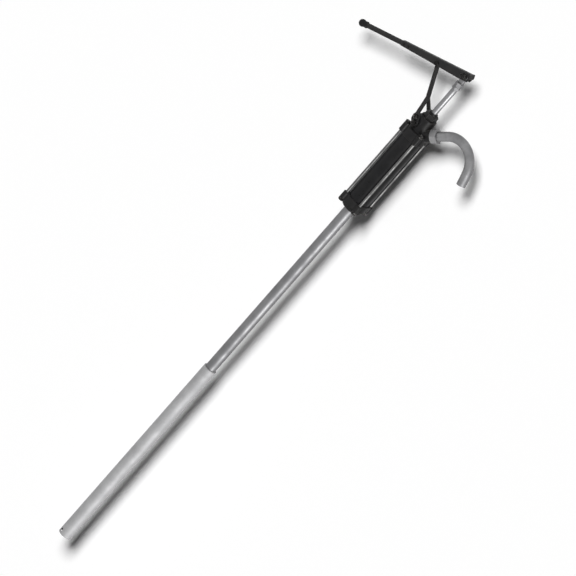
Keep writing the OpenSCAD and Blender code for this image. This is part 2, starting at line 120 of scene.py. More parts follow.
def tilted(origin: Sequence[float], lean: float) -> Matrix:
    """Gives a frame turned about the pump's Y axis.

    Args:
        origin: Where the frame's origin is, in millimetres.
        lean: How far its +Z leans towards +X, in degrees.

    Returns:
        The frame's matrix.
    """
    a = math.radians(lean)
    return place(origin, (math.cos(a), 0, -math.sin(a)), (math.sin(a), 0, math.cos(a)))


# ---------------------------------------------------------------- outlines


def rounded(corners: Iterable[Corner], steps: int = 4, closed: bool = True) -> Outline:
    """Rounds the corners of an outline.

    Args:
        corners: Points of the outline, each with the radius of its corner.
        steps: Number of chords in a rounded corner.
        closed: Whether the last corner joins the first.

    Returns:
        The points of the outline with each corner as an arc.
    """
    pts = list(corners)
    made: Outline = []
    for i, (x, y, radius) in enumerate(pts):
        ends = not closed and i in (0, len(pts) - 1)
        if radius <= 0 or ends:
            made.append((x, y))
            continue
        here = Vector((x, y))
        back = Vector(pts[i - 1][:2]) - here
        ahead = Vector(pts[(i + 1) % len(pts)][:2]) - here
        u, v = back.normalized(), ahead.normalized()
        half = math.acos(max(-1.0, min(1.0, u.dot(v)))) / 2
        reach = min(radius / math.tan(half), 0.49 * back.length, 0.49 * ahead.length)
        arc_radius = reach * math.tan(half)
        centre = here + (u + v).normalized() * (arc_radius / math.sin(half))
        start, end = here + u * reach - centre, here + v * reach - centre
        turn = start.angle_signed(end)
        for k in range(steps + 1):
            c, s = math.cos(-turn * k / steps), math.sin(-turn * k / steps)
            made.append((centre.x + start.x * c - start.y * s, centre.y + start.x * s + start.y * c))
    return made


def ring_outline(outer: float, inner: float, low: float, high: float, soften: float) -> Outline:
    """Gives the turned outline of a ring with softened edges.

    Args:
        outer: Outer radius.
        inner: Inner radius.
        low: Height of its lower face.
        high: Height of its upper face.
        soften: Radius of its edges.

    Returns:
        The closed outline as radius and height.
    """
    corners = [(inner, low), (outer, low), (outer, high), (inner, high)]
    return rounded([(radius, z, soften) for radius, z in corners], 3)


# ---------------------------------------------------------------- meshes


@dataclass
class Draft:
    """Points and faces of a mesh while it is being made, in millimetres.

    Attributes:
        points: The mesh's points.
        faces: The numbers of the points round each face.
    """

    points: list[Vector] = field(default_factory=list)
    faces: list[tuple[int, ...]] = field(default_factory=list)

    def skin(self, rows: Sequence[Sequence[Vector]], wrap: bool) -> Draft:
        """Covers rows of points, each closed on itself, with faces.

        Args:
            rows: The rows, all with the same number of points.
            wrap: Whether the last row joins the first. The end rows are
                capped if it doesn't.

        Returns:
            This draft.
        """
        start, n, count = len(self.points), len(rows[0]), len(rows)
        for row in rows:
            self.points.extend(Vector(p) for p in row)
        for i in range(count if wrap else count - 1):
            a, b = start + i * n, start + (i + 1) % count * n
            self.faces += [(a + k, a + (k + 1) % n, b + (k + 1) % n, b + k) for k in range(n)]
        if not wrap:
            self.faces.append(tuple(range(start + n - 1, start - 1, -1)))
            self.faces.append(tuple(range(start + (count - 1) * n, start + count * n)))
        return self

    def lathe(self, outline: Outline, hollow: bool, segments: int = 72) -> Draft:
        """Turns an outline about the Z axis.

        Args:
            outline: Radius and height of each point.
            hollow: Whether the outline closes on itself, as for a ring.
            segments: Number of faces round the axis.

        Returns:
            This draft.
        """
        turns = [2 * math.pi * k / segments for k in range(segments)]
        rows = [[Vector((r * math.cos(t), r * math.sin(t), z)) for t in turns] for r, z in outline]
        return self.skin(rows, hollow)

    def drum(self, radius: float, low: float, high: float, segments: int = 48) -> Draft:
        """Adds a plain cylinder between two heights, as stock to join or to cut with."""
        return self.lathe([(radius, low), (radius, high)], False, segments)

    def prism(self, outline: Outline, low: float, high: float) -> Draft:
        """Adds an outline in X and Y drawn up between two heights."""
        return self.skin([[Vector((x, y, z)) for x, y in outline] for z in (low, high)], False)

    def hexagon(self, flats: float, height: float, bore: float, base: float = 0.0) -> Draft:
        """Adds a hexagon nut with its corners turned off at both faces.

        Args:
            flats: Width across flats.
            height: Height of the nut.
            bore: Radius of the hole, with its edges countersunk.
            base: Height of its lower face.

        Returns:
            This draft.
        """
        face, slope, sink = 0.475 * flats, math.tan(math.radians(30)), 0.35
        turns = [math.radians(5 * k) for k in range(72)]
        reach = [flats / 2 / math.cos((t + math.pi / 6) % (math.pi / 3) - math.pi / 6) for t in turns]
        drop = [(r - face) * slope for r in reach]
        heights = [
            ([bore + sink] * 72, [0.0] * 72),
            ([face] * 72, [0.0] * 72),
            (reach, drop),
            (reach, [height - d for d in drop]),
            ([face] * 72, [height] * 72),
            ([bore + sink] * 72, [height] * 72),
            ([bore] * 72, [height - sink] * 72),
            ([bore] * 72, [sink] * 72),
        ]
        rows = [
            [
                Vector((r * math.cos(t), r * math.sin(t), base + z))
                for t, r, z in zip(turns, radii, levels)
            ]
            for radii, levels in heights
        ]
        return self.skin(rows, True)

    def thread(self, radius: float, pitch: float, low: float, high: float) -> Draft:
        """Adds a screw thread with a helical V groove and chamfered ends.

        Args:
            radius: Outer radius.
            pitch: Rise of one turn.
            low: Height of its lower end.
            high: Height of its upper end.

        Returns:
            This draft.
        """
        segments, depth = 36, 0.5 * pitch
        count = max(6, round((high - low) / pitch * 6))
        rows = []
        for i in range(count + 1):
            z = low + (high - low) * i / count
            taper = max(0.0, 0.6 * pitch - min(z - low, high - z))
            row = []
            for k in range(segments):
                phase = (z / pitch - k / segments) % 1.0
                r = min(radius - depth * abs(2 * phase - 1), radius - taper)
                t = 2 * math.pi * k / segments
                row.append(Vector((r * math.cos(t), r * math.sin(t), z)))
            rows.append(row)
        return self.skin(rows, False)

    def pipe(self, stations: Sequence[tuple[Vector, Vector, float, float]], segments: int = 48) -> Draft:
        """Adds a hollow pipe whose centre line lies in the XZ plane.

        Args:
            stations: Centre, direction, outer radius and inner radius of
                the pipe, in order along it.
            segments: Number of faces round it.

        Returns:
            This draft.
        """
        outside, inside = [], []
        for centre, direction, outer, inner in stations:
            across = Vector((0, 1, 0))
            up = direction.normalized().cross(across)
            turns = [2 * math.pi * k / segments for k in range(segments)]
            outside.append([centre + outer * (across * math.cos(t) + up * math.sin(t)) for t in turns])
            inside.append([centre + inner * (across * math.cos(t) + up * math.sin(t)) for t in turns])
        return self.skin(outside + inside[::-1], True)

    def add(self, other: Draft, matrix: Matrix | None = None) -> Draft:
        """Adds a copy of another draft.

        Args:
            other: The draft to copy.
            matrix: Where its copy goes, or None to leave it in place.

        Returns:
            This draft.
        """
        start = len(self.points)
        self.points += [matrix @ p if matrix else p.copy() for p in other.points]
        self.faces += [tuple(start + i for i in face) for face in other.faces]
        return self

    def make(self, name: str) -> bpy.types.Object:
        """Makes a mesh object of the draft, in metres, with its normals outwards."""
        mesh = bpy.data.meshes.new(name)
        mesh.from_pydata([p * MM for p in self.points], [], self.faces)
        shell = bmesh.new()
        shell.from_mesh(mesh)
        bmesh.ops.recalc_face_normals(shell, faces=shell.faces)
        shell.to_mesh(mesh)
        shell.free()
        made = bpy.data.objects.new(name, mesh)
        bpy.context.scene.collection.objects.link(made)
        return made


def bake_modifiers(piece: bpy.types.Object) -> None:
    """Replaces a piece's mesh by what its modifiers make of it."""
    graph = bpy.context.evaluated_depsgraph_get()
    shaped = bpy.data.meshes.new_from_object(piece.evaluated_get(graph))
    old = piece.data
    piece.modifiers.clear()
    piece.data = shaped
    shaped.name = piece.name
    bpy.data.meshes.remove(old)


def soften(piece: bpy.types.Object, width: float, chords: int = 3) -> None:
    """Rounds the sharp edges of a piece.

    Args:
        piece: The piece, whose mesh changes.
        width: Width of the rounding, in millimetres.
        chords: Number of faces across the rounding.
    """
    bevel = piece.modifiers.new("edges", "BEVEL")
    bevel.width, bevel.segments = width * MM, chords
    bevel.limit_method, bevel.angle_limit = "ANGLE", math.radians(32)
    bevel.use_clamp_overlap = True
    bake_modifiers(piece)


def fuse(piece: bpy.types.Object, grain: float, rounds: int) -> None:
    """Runs overlapping stock together into one skin with fillets, as in a casting.

    Args:
        piece: The piece, whose mesh changes.
        grain: Size of the cells of its skin, in millimetres.
        rounds: How many times the skin is smoothed.
    """
    remesh = piece.modifiers.new("skin", "REMESH")
    remesh.mode, remesh.voxel_size, remesh.adaptivity = "VOXEL", grain * MM, 0.0
    smooth = piece.modifiers.new("fillets", "SMOOTH")
    smooth.factor, smooth.iterations = 0.5, rounds
    bake_modifiers(piece)


def carve(piece: bpy.types.Object, cutters: Iterable[Draft]) -> None:
    """Cuts one shape after another out of a piece and joins the slivers that are left.

    Args:
        piece: The piece, whose mesh changes.
        cutters: The shapes to cut away, in the pump's frame.
    """
    for cutter in cutters:
        tool = cutter.make("tool")
        cut = piece.modifiers.new("cut", "BOOLEAN")
        cut.operation, cut.solver, cut.object = "DIFFERENCE", "EXACT", tool
        bake_modifiers(piece)
        used = tool.data
        bpy.data.objects.remove(tool)
        bpy.data.meshes.remove(used)
    shell = bmesh.new()
    shell.from_mesh(piece.data)
    bmesh.ops.remove_doubles(shell, verts=shell.verts, dist=JOIN_WITHIN * MM)
    bmesh.ops.dissolve_degenerate(shell, edges=shell.edges, dist=JOIN_WITHIN * MM)
    shell.to_mesh(piece.data)
    shell.free()


def join(piece: bpy.types.Object, other: bpy.types.Object) -> None:
    """Moves the mesh of another object into a piece, and the other goes."""
    both = [piece, other]
    with bpy.context.temp_override(
        active_object=piece, object=piece, selected_objects=both, selected_editable_objects=both
    ):
        bpy.ops.object.join()


# ---------------------------------------------------------------- finishes


class Grain(Enum):
    """What the surface of a finish is like close up."""

    CAST = "sand-cast metal under paint"
    ENAMEL = "sprayed enamel"
    DRAWN = "metal drawn along the pump axis"
    TURNED = "metal turned or ground round the pump axis"
    PLATED = "smooth plating"
    MOULDED = "moulded plastic or rubber"
    LEATHER = "cup leather"


@dataclass(frozen=True)
class Finish:
    """The finish of a surface, from which its material is made.

    Attributes:
        name: Name of the material.
        colour: Main colour.
        second: Colour of its cloudy patches.
        metallic: 1 for bare metal, 0 for paint and plastic.
        roughness: Mean roughness.
        spread: How far the roughness varies either way.
        grain: Kind of fine surface.
        relief: Depth of the grain, in millimetres.
        bare: Colour that shows at worn edges.
        wear: Share of an edge that is worn.
        specular: Level of the shine of a surface that isn't metal.
        coat: Weight of a clear gloss over the colour.
        streak: How strongly the grain shows in the colour.
    """

    name: str
    colour: Colour
    second: Colour
    metallic: float
    roughness: float
    spread: float
    grain: Grain
    relief: float
    bare: Colour
    wear: float
    specular: float = 0.5
    coat: float = 0.0
    streak: float = 0.3


CASTING_PAINT = Finish(
    "casting_paint", (0.009, 0.009, 0.0095), (0.016, 0.0155, 0.015), 0.0, 0.46, 0.12,
    Grain.CAST, 0.10, (0.12, 0.115, 0.11), 0.40, specular=0.16,
)
BARREL_ENAMEL = Finish(
    "barrel_enamel", (0.007, 0.007, 0.0075), (0.012, 0.012, 0.0125), 0.0, 0.38, 0.10,
    Grain.ENAMEL, 0.03, (0.10, 0.10, 0.10), 0.25, specular=0.15,
)
LEVER_PAINT = Finish(
    "lever_paint", (0.018, 0.018, 0.0185), (0.028, 0.027, 0.0265), 0.0, 0.50, 0.12,
    Grain.ENAMEL, 0.05, (0.16, 0.155, 0.15), 0.50, specular=0.14,
)
BOLT_STEEL = Finish(
    "bolt_steel", (0.022, 0.0215, 0.021), (0.014, 0.0135, 0.013), 1.0, 0.50, 0.12,
    Grain.TURNED, 0.02, (0.22, 0.215, 0.21), 0.40,
)
TIE_STEEL = Finish(
    "tie_steel", (0.16, 0.159, 0.157), (0.11, 0.109, 0.108), 1.0, 0.54, 0.12,
    Grain.TURNED, 0.02, (0.34, 0.335, 0.33), 0.45,
)
ROD_STEEL = Finish(
    "rod_steel", (0.27, 0.27, 0.275), (0.21, 0.21, 0.215), 1.0, 0.46, 0.10,
    Grain.TURNED, 0.012, (0.50, 0.50, 0.50), 0.3,
)
TUBE_ZINC = Finish(
    "tube_zinc", (0.22, 0.22, 0.225), (0.19, 0.19, 0.195), 1.0, 0.54, 0.06,
    Grain.DRAWN, 0.02, (0.40, 0.40, 0.40), 0.4,
)
# Paler zinc of the lower tube and guide bush; the paler colour is partly painted light, standing in for
# the brighter light on the tube's lower end.
LOWER_TUBE_ZINC_AND_LIGHT = Finish(
    "lower_tube_zinc_and_light", (0.44, 0.44, 0.445), (0.415, 0.415, 0.42), 1.0, 0.74, 0.03,
    Grain.DRAWN, 0.02, (0.50, 0.50, 0.50), 0.4,
)
# Dark colour for the faces inside the tubes and the spout: painted shade inside their bores.
BORE_PAINTED_SHADE = Finish(
    "bore_painted_shade", (0.045, 0.044, 0.043), (0.028, 0.027, 0.026), 1.0, 0.60, 0.10,
    Grain.DRAWN, 0.02, (0.10, 0.10, 0.10), 0.2,
)
SPOUT_PLATE = Finish(
    "spout_plate", (0.28, 0.28, 0.285), (0.20, 0.20, 0.205), 1.0, 0.50, 0.10,
    Grain.PLATED, 0.02, (0.42, 0.42, 0.42), 0.4,
)
TURNED_BRASS = Finish(
    "turned_brass", (0.60, 0.44, 0.19), (0.44, 0.30, 0.12), 1.0, 0.30, 0.10,
    Grain.TURNED, 0.015, (0.78, 0.62, 0.32), 0.5,
)
CUP_LEATHER = Finish(
    "cup_leather", (0.13, 0.07, 0.034), (0.075, 0.038, 0.018), 0.0, 0.58, 0.12,
    Grain.LEATHER, 0.12, (0.22, 0.13, 0.07), 0.5, specular=0.4,
)
SEAL_RUBBER = Finish(
    "seal_rubber", (0.016, 0.016, 0.017), (0.030, 0.030, 0.030), 0.0, 0.62, 0.10,
    Grain.MOULDED, 0.03, (0.06, 0.06, 0.06), 0.3, specular=0.35,
)
KNOB_PLASTIC = Finish(
    "knob_plastic", (0.006, 0.006, 0.0065), (0.012, 0.012, 0.0125), 0.0, 0.40, 0.10,
    Grain.MOULDED, 0.03, (0.06, 0.06, 0.06), 0.3, specular=0.14,
)


class Wiring:
    """Adds nodes to one node tree at a time and links them."""

    def __init__(self) -> None:
        """Starts with no tree taken up."""
        self.tree: bpy.types.NodeTree | None = None

    def start(self, owner: bpy.types.Material | bpy.types.World) -> None:
        """Takes up the node tree of a material or of the world, and empties it."""
        owner.use_nodes = True
        self.tree = owner.node_tree
        self.tree.nodes.clear()

    def node(self, kind: str, **settings: object) -> bpy.types.Node:
        """Adds a node and sets its properties.

        Args:
            kind: Blender's name for the kind of node.
            **settings: Values of the node's own properties.

        Returns:
            The node.
        """
        made = self.tree.nodes.new(kind)
        for key, value in settings.items():
            setattr(made, key, value)
        return made

    def feed(self, node: bpy.types.Node, **inputs: object) -> bpy.types.Node:
        """Sets or links a node's inputs by name, with _ for a space.

        Args:
            node: The node.
            **inputs: A socket to link, or a plain value, for each input.

        Returns:
            The same node.
        """
        for key, value in inputs.items():
            socket = node.inputs[key.replace("_", " ")]
            if isinstance(value, bpy.types.NodeSocket):
                self.tree.links.new(value, socket)
            else:
                socket.default_value = value
        return node

    def sum(self, operation: str, a: object, b: object, clamp: bool = False) -> bpy.types.NodeSocket:
        """Adds a maths node.

        Args:
            operation: Name of the operation.
            a: Its first value or socket.
            b: Its second value or socket.
            clamp: Whether the result is kept between 0 and 1.

        Returns:
            The result's socket.
        """
        made = self.node("ShaderNodeMath", operation=operation, use_clamp=clamp)
        for socket, value in zip(made.inputs, (a, b)):
            if isinstance(value, bpy.types.NodeSocket):
                self.tree.links.new(value, socket)
            else:
                socket.default_value = value
        return made.outputs[0]

    def blend(self, share: bpy.types.NodeSocket, a: object, b: object) -> bpy.types.NodeSocket:
        """Mixes two colours by a share, 0 for the first and 1 for the second."""
        made = self.node("ShaderNodeMix", data_type="RGBA", clamp_factor=True)
        for index, value in ((0, share), (6, a), (7, b)):
            if isinstance(value, bpy.types.NodeSocket):
                self.tree.links.new(value, made.inputs[index])
            else:
                made.inputs[index].default_value = (*value, 1.0) if index > 0 else value
        return made.outputs[2]

    def choose(self, *sockets: bpy.types.NodeSocket) -> bpy.types.NodeSocket:
        """Mixes two shaders, with the share first and then the two."""
        made = self.node("ShaderNodeMixShader")
        for index, socket in enumerate(sockets):
            self.tree.links.new(socket, made.inputs[index])
        return made.outputs[0]

    def end(self, kind: str, surface: bpy.types.NodeSocket) -> None:
        """Adds the tree's output node and gives it the finished surface."""
        self.tree.links.new(surface, self.node(kind).inputs["Surface"])


class Dresser(Wiring):
    """Makes the node material of each finish once and gives it to pieces."""

    def __init__(self) -> None:
        """Starts with no materials made."""
        super().__init__()
        self.made: dict[str, bpy.types.Material] = {}

    def noise(
        self, vector: bpy.types.NodeSocket, scale: float, detail: float = 3.0
    ) -> bpy.types.NodeSocket:
        """Adds a noise texture and gives its value between 0 and 1."""
        made = self.node("ShaderNodeTexNoise")
        self.feed(made, Vector=vector, Scale=scale, Detail=detail, Roughness=0.55)
        return made.outputs[0]

    def span(
        self, value: bpy.types.NodeSocket, low: float, high: float, to_low: float, to_high: float
    ) -> bpy.types.NodeSocket:
        """Maps a range of a value onto another range, with its ends held."""
        made = self.node("ShaderNodeMapRange", clamp=True)
        self.feed(made, Value=value)
        for index, number in enumerate((low, high, to_low, to_high), start=1):
            made.inputs[index].default_value = number
        return made.outputs[0]

    def stretch(self, vector: bpy.types.NodeSocket, by: Sequence[float]) -> bpy.types.NodeSocket:
        """Scales a coordinate by a different amount on each axis."""
        made = self.node("ShaderNodeMapping")
        self.feed(made, Vector=vector, Scale=tuple(by))
        return made.outputs[0]

    def grain_value(self, finish: Finish, where: bpy.types.NodeSocket) -> bpy.types.NodeSocket:
        """Makes the fine pattern of a finish, between 0 and 1.

        Args:
            finish: The finish.
            where: The coordinate that the pattern follows.

        Returns:
            The pattern's socket.
        """
        if finish.grain is Grain.CAST:
            coarse, fine = self.noise(where, 420.0, 4.0), self.noise(where, 1700.0, 2.0)
            return self.sum("ADD", self.sum("MULTIPLY", coarse, 0.7), self.sum("MULTIPLY", fine, 0.3))
        if finish.grain is Grain.ENAMEL:
            return self.noise(where, 520.0, 1.5)
        if finish.grain is Grain.DRAWN:
            lines = self.noise(self.stretch(where, (1.0, 1.0, 0.012)), 3200.0, 3.0)
            flakes = self.node("ShaderNodeTexVoronoi", feature="F1")
            self.feed(flakes, Vector=self.stretch(where, (1.0, 1.0, 0.45)), Scale=210.0)
            shade = self.sum("MULTIPLY", flakes.outputs["Color"], 0.35)
            return self.sum("ADD", self.sum("MULTIPLY", lines, 0.65), shade)
        if finish.grain is Grain.TURNED:
            rings = self.noise(self.stretch(where, (0.015, 0.015, 1.0)), 4200.0, 2.0)
            specks = self.noise(where, 900.0)
            return self.sum("ADD", self.sum("MULTIPLY", rings, 0.7), self.sum("MULTIPLY", specks, 0.3))
        if finish.grain is Grain.LEATHER:
            cells = self.node("ShaderNodeTexVoronoi", feature="SMOOTH_F1")
            self.feed(cells, Vector=where, Scale=1400.0)
            return cells.outputs["Distance"]
        if finish.grain is Grain.PLATED:
            return self.noise(where, 260.0, 4.0)
        return self.noise(where, 1500.0, 3.0)

    def edge_value(self, where: bpy.types.NodeSocket, wear: float) -> bpy.types.NodeSocket:
        """Finds the convex edges that handling has worn.

        Args:
            where: The coordinate that breaks the wear up.
            wear: Share of the edges that is worn.

        Returns:
            A socket that is 1 on a worn edge and 0 elsewhere.
        """
        rounded_normal = self.node("ShaderNodeBevel", samples=4)
        self.feed(rounded_normal, Radius=0.9 * MM)
        plain = self.node("ShaderNodeNewGeometry")
        turned = self.node("ShaderNodeVectorMath", operation="DOT_PRODUCT")
        self.tree.links.new(rounded_normal.outputs[0], turned.inputs[0])
        self.tree.links.new(plain.outputs["Normal"], turned.inputs[1])
        edge = self.span(turned.outputs["Value"], 0.985, 0.90, 0.0, 1.0)
        patches = self.span(self.noise(where, 190.0, 5.0), 0.62 - 0.4 * wear, 0.74 - 0.4 * wear, 0.0, 1.0)
        return self.sum("MULTIPLY", edge, patches, True)

    def material(self, finish: Finish) -> bpy.types.Material:
        """Gives the material of a finish, and makes it the first time."""
        if finish.name in self.made:
            return self.made[finish.name]
        made = bpy.data.materials.new(finish.name)
        self.start(made)
        where = self.node("ShaderNodeTexCoord").outputs["Object"]

        clouds = self.span(self.noise(where, 38.0, 5.0), 0.38, 0.66, 0.0, 1.0)
        grain = self.grain_value(finish, where)
        worn = self.edge_value(where, finish.wear)
        body = self.blend(clouds, finish.colour, finish.second)
        dark = tuple(0.6 * c for c in finish.colour)
        body = self.blend(self.span(grain, 0.62, 0.30, 0.0, finish.streak), body, dark)
        body = self.blend(worn, body, finish.bare)

        smoothest, roughest = finish.roughness - finish.spread, finish.roughness + finish.spread
        rough = self.span(clouds, 0.0, 1.0, smoothest, roughest)
        rough = self.sum("ADD", rough, self.span(grain, 0.3, 0.7, -0.04, 0.04), True)

        bump = self.node("ShaderNodeBump")
        self.feed(bump, Height=grain, Strength=0.5, Distance=finish.relief * MM)

        shader = self.node("ShaderNodeBsdfPrincipled")
        self.feed(shader, Base_Color=body, Roughness=rough, Normal=bump.outputs[0])
        shader.inputs["Metallic"].default_value = finish.metallic
        shader.inputs["Specular IOR Level"].default_value = finish.specular
        shader.inputs["Coat Weight"].default_value = finish.coat
        shader.inputs["Coat Roughness"].default_value = 0.12
        self.end("ShaderNodeOutputMaterial", shader.outputs[0])
        self.made[finish.name] = made
        return made

    def paint(self, piece: bpy.types.Object, finish: Finish) -> None:
        """Gives a piece the material of a finish as its only one."""
        piece.data.materials.clear()
        piece.data.materials.append(self.material(finish))

    def line(
        self, piece: bpy.types.Object, finish: Finish, inside: Callable[[bpy.types.MeshPolygon], bool]
    ) -> None:
        """Gives the faces inside a hollow piece a finish of their own; the one used is a dark colour that
        paints the shade inside the bore.

        Args:
            piece: The piece, with its outer finish.
            finish: Finish of its inside.
            inside: Tells whether a face is inside the piece.
        """
        piece.data.materials.append(self.material(finish))
        for face in piece.data.polygons:
            if inside(face):
                face.material_index = 1

    def repaint(self, piece: bpy.types.Object, finish: Finish) -> None:
        """Puts the material of a finish in every slot of a CAD piece."""
        for slot in piece.material_slots:
            slot.material = self.material(finish)
        if not piece.material_slots:
            piece.data.materials.append(self.material(finish))


# ---------------------------------------------------------------- sub-assemblies


@dataclass
class SubAssembly:
    """A group of pieces that is built and dressed together.

    Attributes:
        dresser: What makes the materials.
    """

    dresser: Dresser

    def fit(
        self,
        piece: bpy.types.Object,
        body: str,
        slot: str,
        finish: Finish,
        nodes: Sequence[str],
        crease: float = 38.0,
    ) -> None:
        """slot: The record's material slot; not used.
            finish: Its finish.
            nodes: CAD nodes that it stands for.
            crease: Angle past which an edge stays sharp, in degrees.
        """
        mesh = piece.data
        mesh.shade_smooth()
        mesh.set_sharp_from_angle(angle=math.radians(crease))
        normals = piece.modifiers.new("normals", "WEIGHTED_NORMAL")
        normals.keep_sharp, normals.weight = True, 60
        self.dresser.paint(piece, finish)
        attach(piece, body)
        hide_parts(*nodes)
        LOG.info("%s: %d faces, on %s", piece.name, len(mesh.polygons), body)


def faces_axis(face: bpy.types.MeshPolygon) -> bool:
    """Tells whether a face looks towards the pump's axis."""
    return Vector(face.center[:2]).normalized().dot(Vector(face.normal[:2])) < -0.6


@dataclass
class SuctionTube(SubAssembly):
    """The fixed upper tube and the lower tube that slides on it.

    Attributes:
        upper_r: Outer radius of the upper tube.
        upper_wall: Wall of the upper tube.
        lower_r: Outer radius of the lower tube.
        lower_wall: Wall of the lower tube.
        hole_r: Radius of the cross hole near the inlet end.
        hole_up: Height of that hole above the end.
        hole_turn: Turn of that hole from the spout's side, in degrees.
        crimp: Depth of the groove that holds the guide bush.
        crimp_down: Distance of that groove below the lower tube's top.
        crimp_half: Half width of that groove.
        lip: Height of the guide bush's lip above the lower tube.
    """

    upper_r: float = 11.0
    upper_wall: float = 1.5
    lower_r: float = 13.5
    lower_wall: float = 1.25
    hole_r: float = 3.5
    hole_up: float = 8.0
    hole_turn: float = 57.0
    crimp: float = 0.35
    crimp_down: float = 12.0
    crimp_half: float = 1.6
    lip: float = 2.0

    def build(self) -> None:
        """Builds both tubes and the guide bush."""
        self.build_upper()
        self.build_lower()
        self.build_guide()

    def build_upper(self) -> None:
        """Builds the upper tube with its ends deburred."""
        low, high = (p.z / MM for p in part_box("suction_tube_upper"))
        outline = ring_outline(self.upper_r, self.upper_r - self.upper_wall, low, high, 0.35)
        tube = Draft().lathe(outline, True, 96).make("UpperTube")
        self.fit(tube, "pump", "zinc_tube", TUBE_ZINC, ["suction_tube_upper"])

    def build_lower(self) -> None:
        """Builds the lower tube with its rolled foot, cross hole and crimp."""
        low, high = (p.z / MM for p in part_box("suction_tube_lower"))
        inner = self.lower_r - self.lower_wall
        crimp_z = high - self.crimp_down
        outline = rounded(
            [
                (inner, low, 0.4),
                (self.lower_r, low, 0.8),
                (self.lower_r, crimp_z - self.crimp_half, 1.0),
                (self.lower_r - self.crimp, crimp_z, 1.5),
                (self.lower_r, crimp_z + self.crimp_half, 1.0),
                (self.lower_r, high, 0.3),
                (inner, high, 0.3),
            ],
            4,
        )
        tube = Draft().lathe(outline, True, 96).make("LowerTube")
        reach = 1.5 * self.lower_r
        drill = Draft().drum(self.hole_r, -reach, reach)
        turn = math.radians(self.hole_turn)
        heading = (math.cos(turn), math.sin(turn), 0)
        across = place((0, 0, low + self.hole_up), (-math.sin(turn), math.cos(turn), 0), heading)
        carve(tube, [Draft().add(drill, across)])
        # Its paler zinc partly paints the brighter light on the lower end of the tube.
        self.fit(tube, "lower_tube", "zinc_tube", LOWER_TUBE_ZINC_AND_LIGHT, ["suction_tube_lower"])
        # The inside of the tube is painted dark, as painted shade in its bore.
        self.dresser.line(tube, BORE_PAINTED_SHADE, faces_axis)

    def build_guide(self) -> None:
        """Builds the guide bush whose lip closes the top of the lower tube."""
        low, high = (p.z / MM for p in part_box("guide_bush"))
        inner, outer = self.upper_r + 0.1, self.lower_r - self.lower_wall
        outline = rounded(
            [
                (inner, low, 0.3),
                (outer - 0.02, low, 0.3),
                (outer - 0.02, high - self.lip, 0),
                (self.lower_r, high - self.lip, 0.2),
                (self.lower_r, high, 1.2),
                (inner, high, 0.4),
            ],
            4,
        )
        bush = Draft().lathe(outline, True, 96).make("GuideBush")
        # The bush takes the lower tube's paler zinc, whose colour is partly painted light.
        self.fit(bush, "lower_tube", "zinc_tube", LOWER_TUBE_ZINC_AND_LIGHT, ["guide_bush"])


@dataclass
class TieRods(SubAssembly):
    """The four tie rods with their nuts, which clamp the barrel.

    Attributes:
        circle: Radius of the circle that the rods stand on.
        rod_r: Radius of a rod.
        nut_flats: Width across flats of a nut.
        nut_h: Height of a nut.
        pitch: Pitch of the thread.
        threaded: Length of thread at each end of a rod.
    """

    circle: float = 27.5
    rod_r: float = 3.0
    nut_flats: float = 10.0
    nut_h: float = 4.5
    pitch: float = 1.0
    threaded: float = 7.0

    def spots(self) -> list[Matrix]:
        """Gives the frame of each rod, on the rod's axis at the origin's height."""
        turns = [math.radians(45 + 90 * i) for i in range(4)]
        r = self.circle
        return [Matrix.Translation((r * math.cos(t), r * math.sin(t), 0)) for t in turns]

    def build(self) -> None:
        """Builds the rods and both sets of nuts."""
        low, high = (p.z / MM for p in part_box("tie_rods"))
        one = Draft().drum(self.rod_r - 0.03, low + self.threaded - 0.4, high - self.threaded + 0.4)
        one.thread(self.rod_r, self.pitch, low, low + self.threaded)
        one.thread(self.rod_r, self.pitch, high - self.threaded, high)
        rods = Draft()
        for spot in self.spots():
            rods.add(one, spot)
        self.fit(rods.make("TieRods"), "pump", "tie_steel", TIE_STEEL, ["tie_rods"])
        for node, name in (("tie_nuts_top", "TieNutsTop"), ("tie_nuts_bottom", "TieNutsBottom")):
            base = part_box(node)[0].z / MM
            nuts = Draft()
            for i, spot in enumerate(self.spots()):
                turn = Matrix.Rotation(math.radians(17 + 41 * i), 4, "Z")
                nut = Draft().hexagon(self.nut_flats, self.nut_h, self.rod_r - 0.02, base)
                nuts.add(nut, spot @ turn)
            self.fit(nuts.make(name), "pump", "dark_steel", BOLT_STEEL, [node])


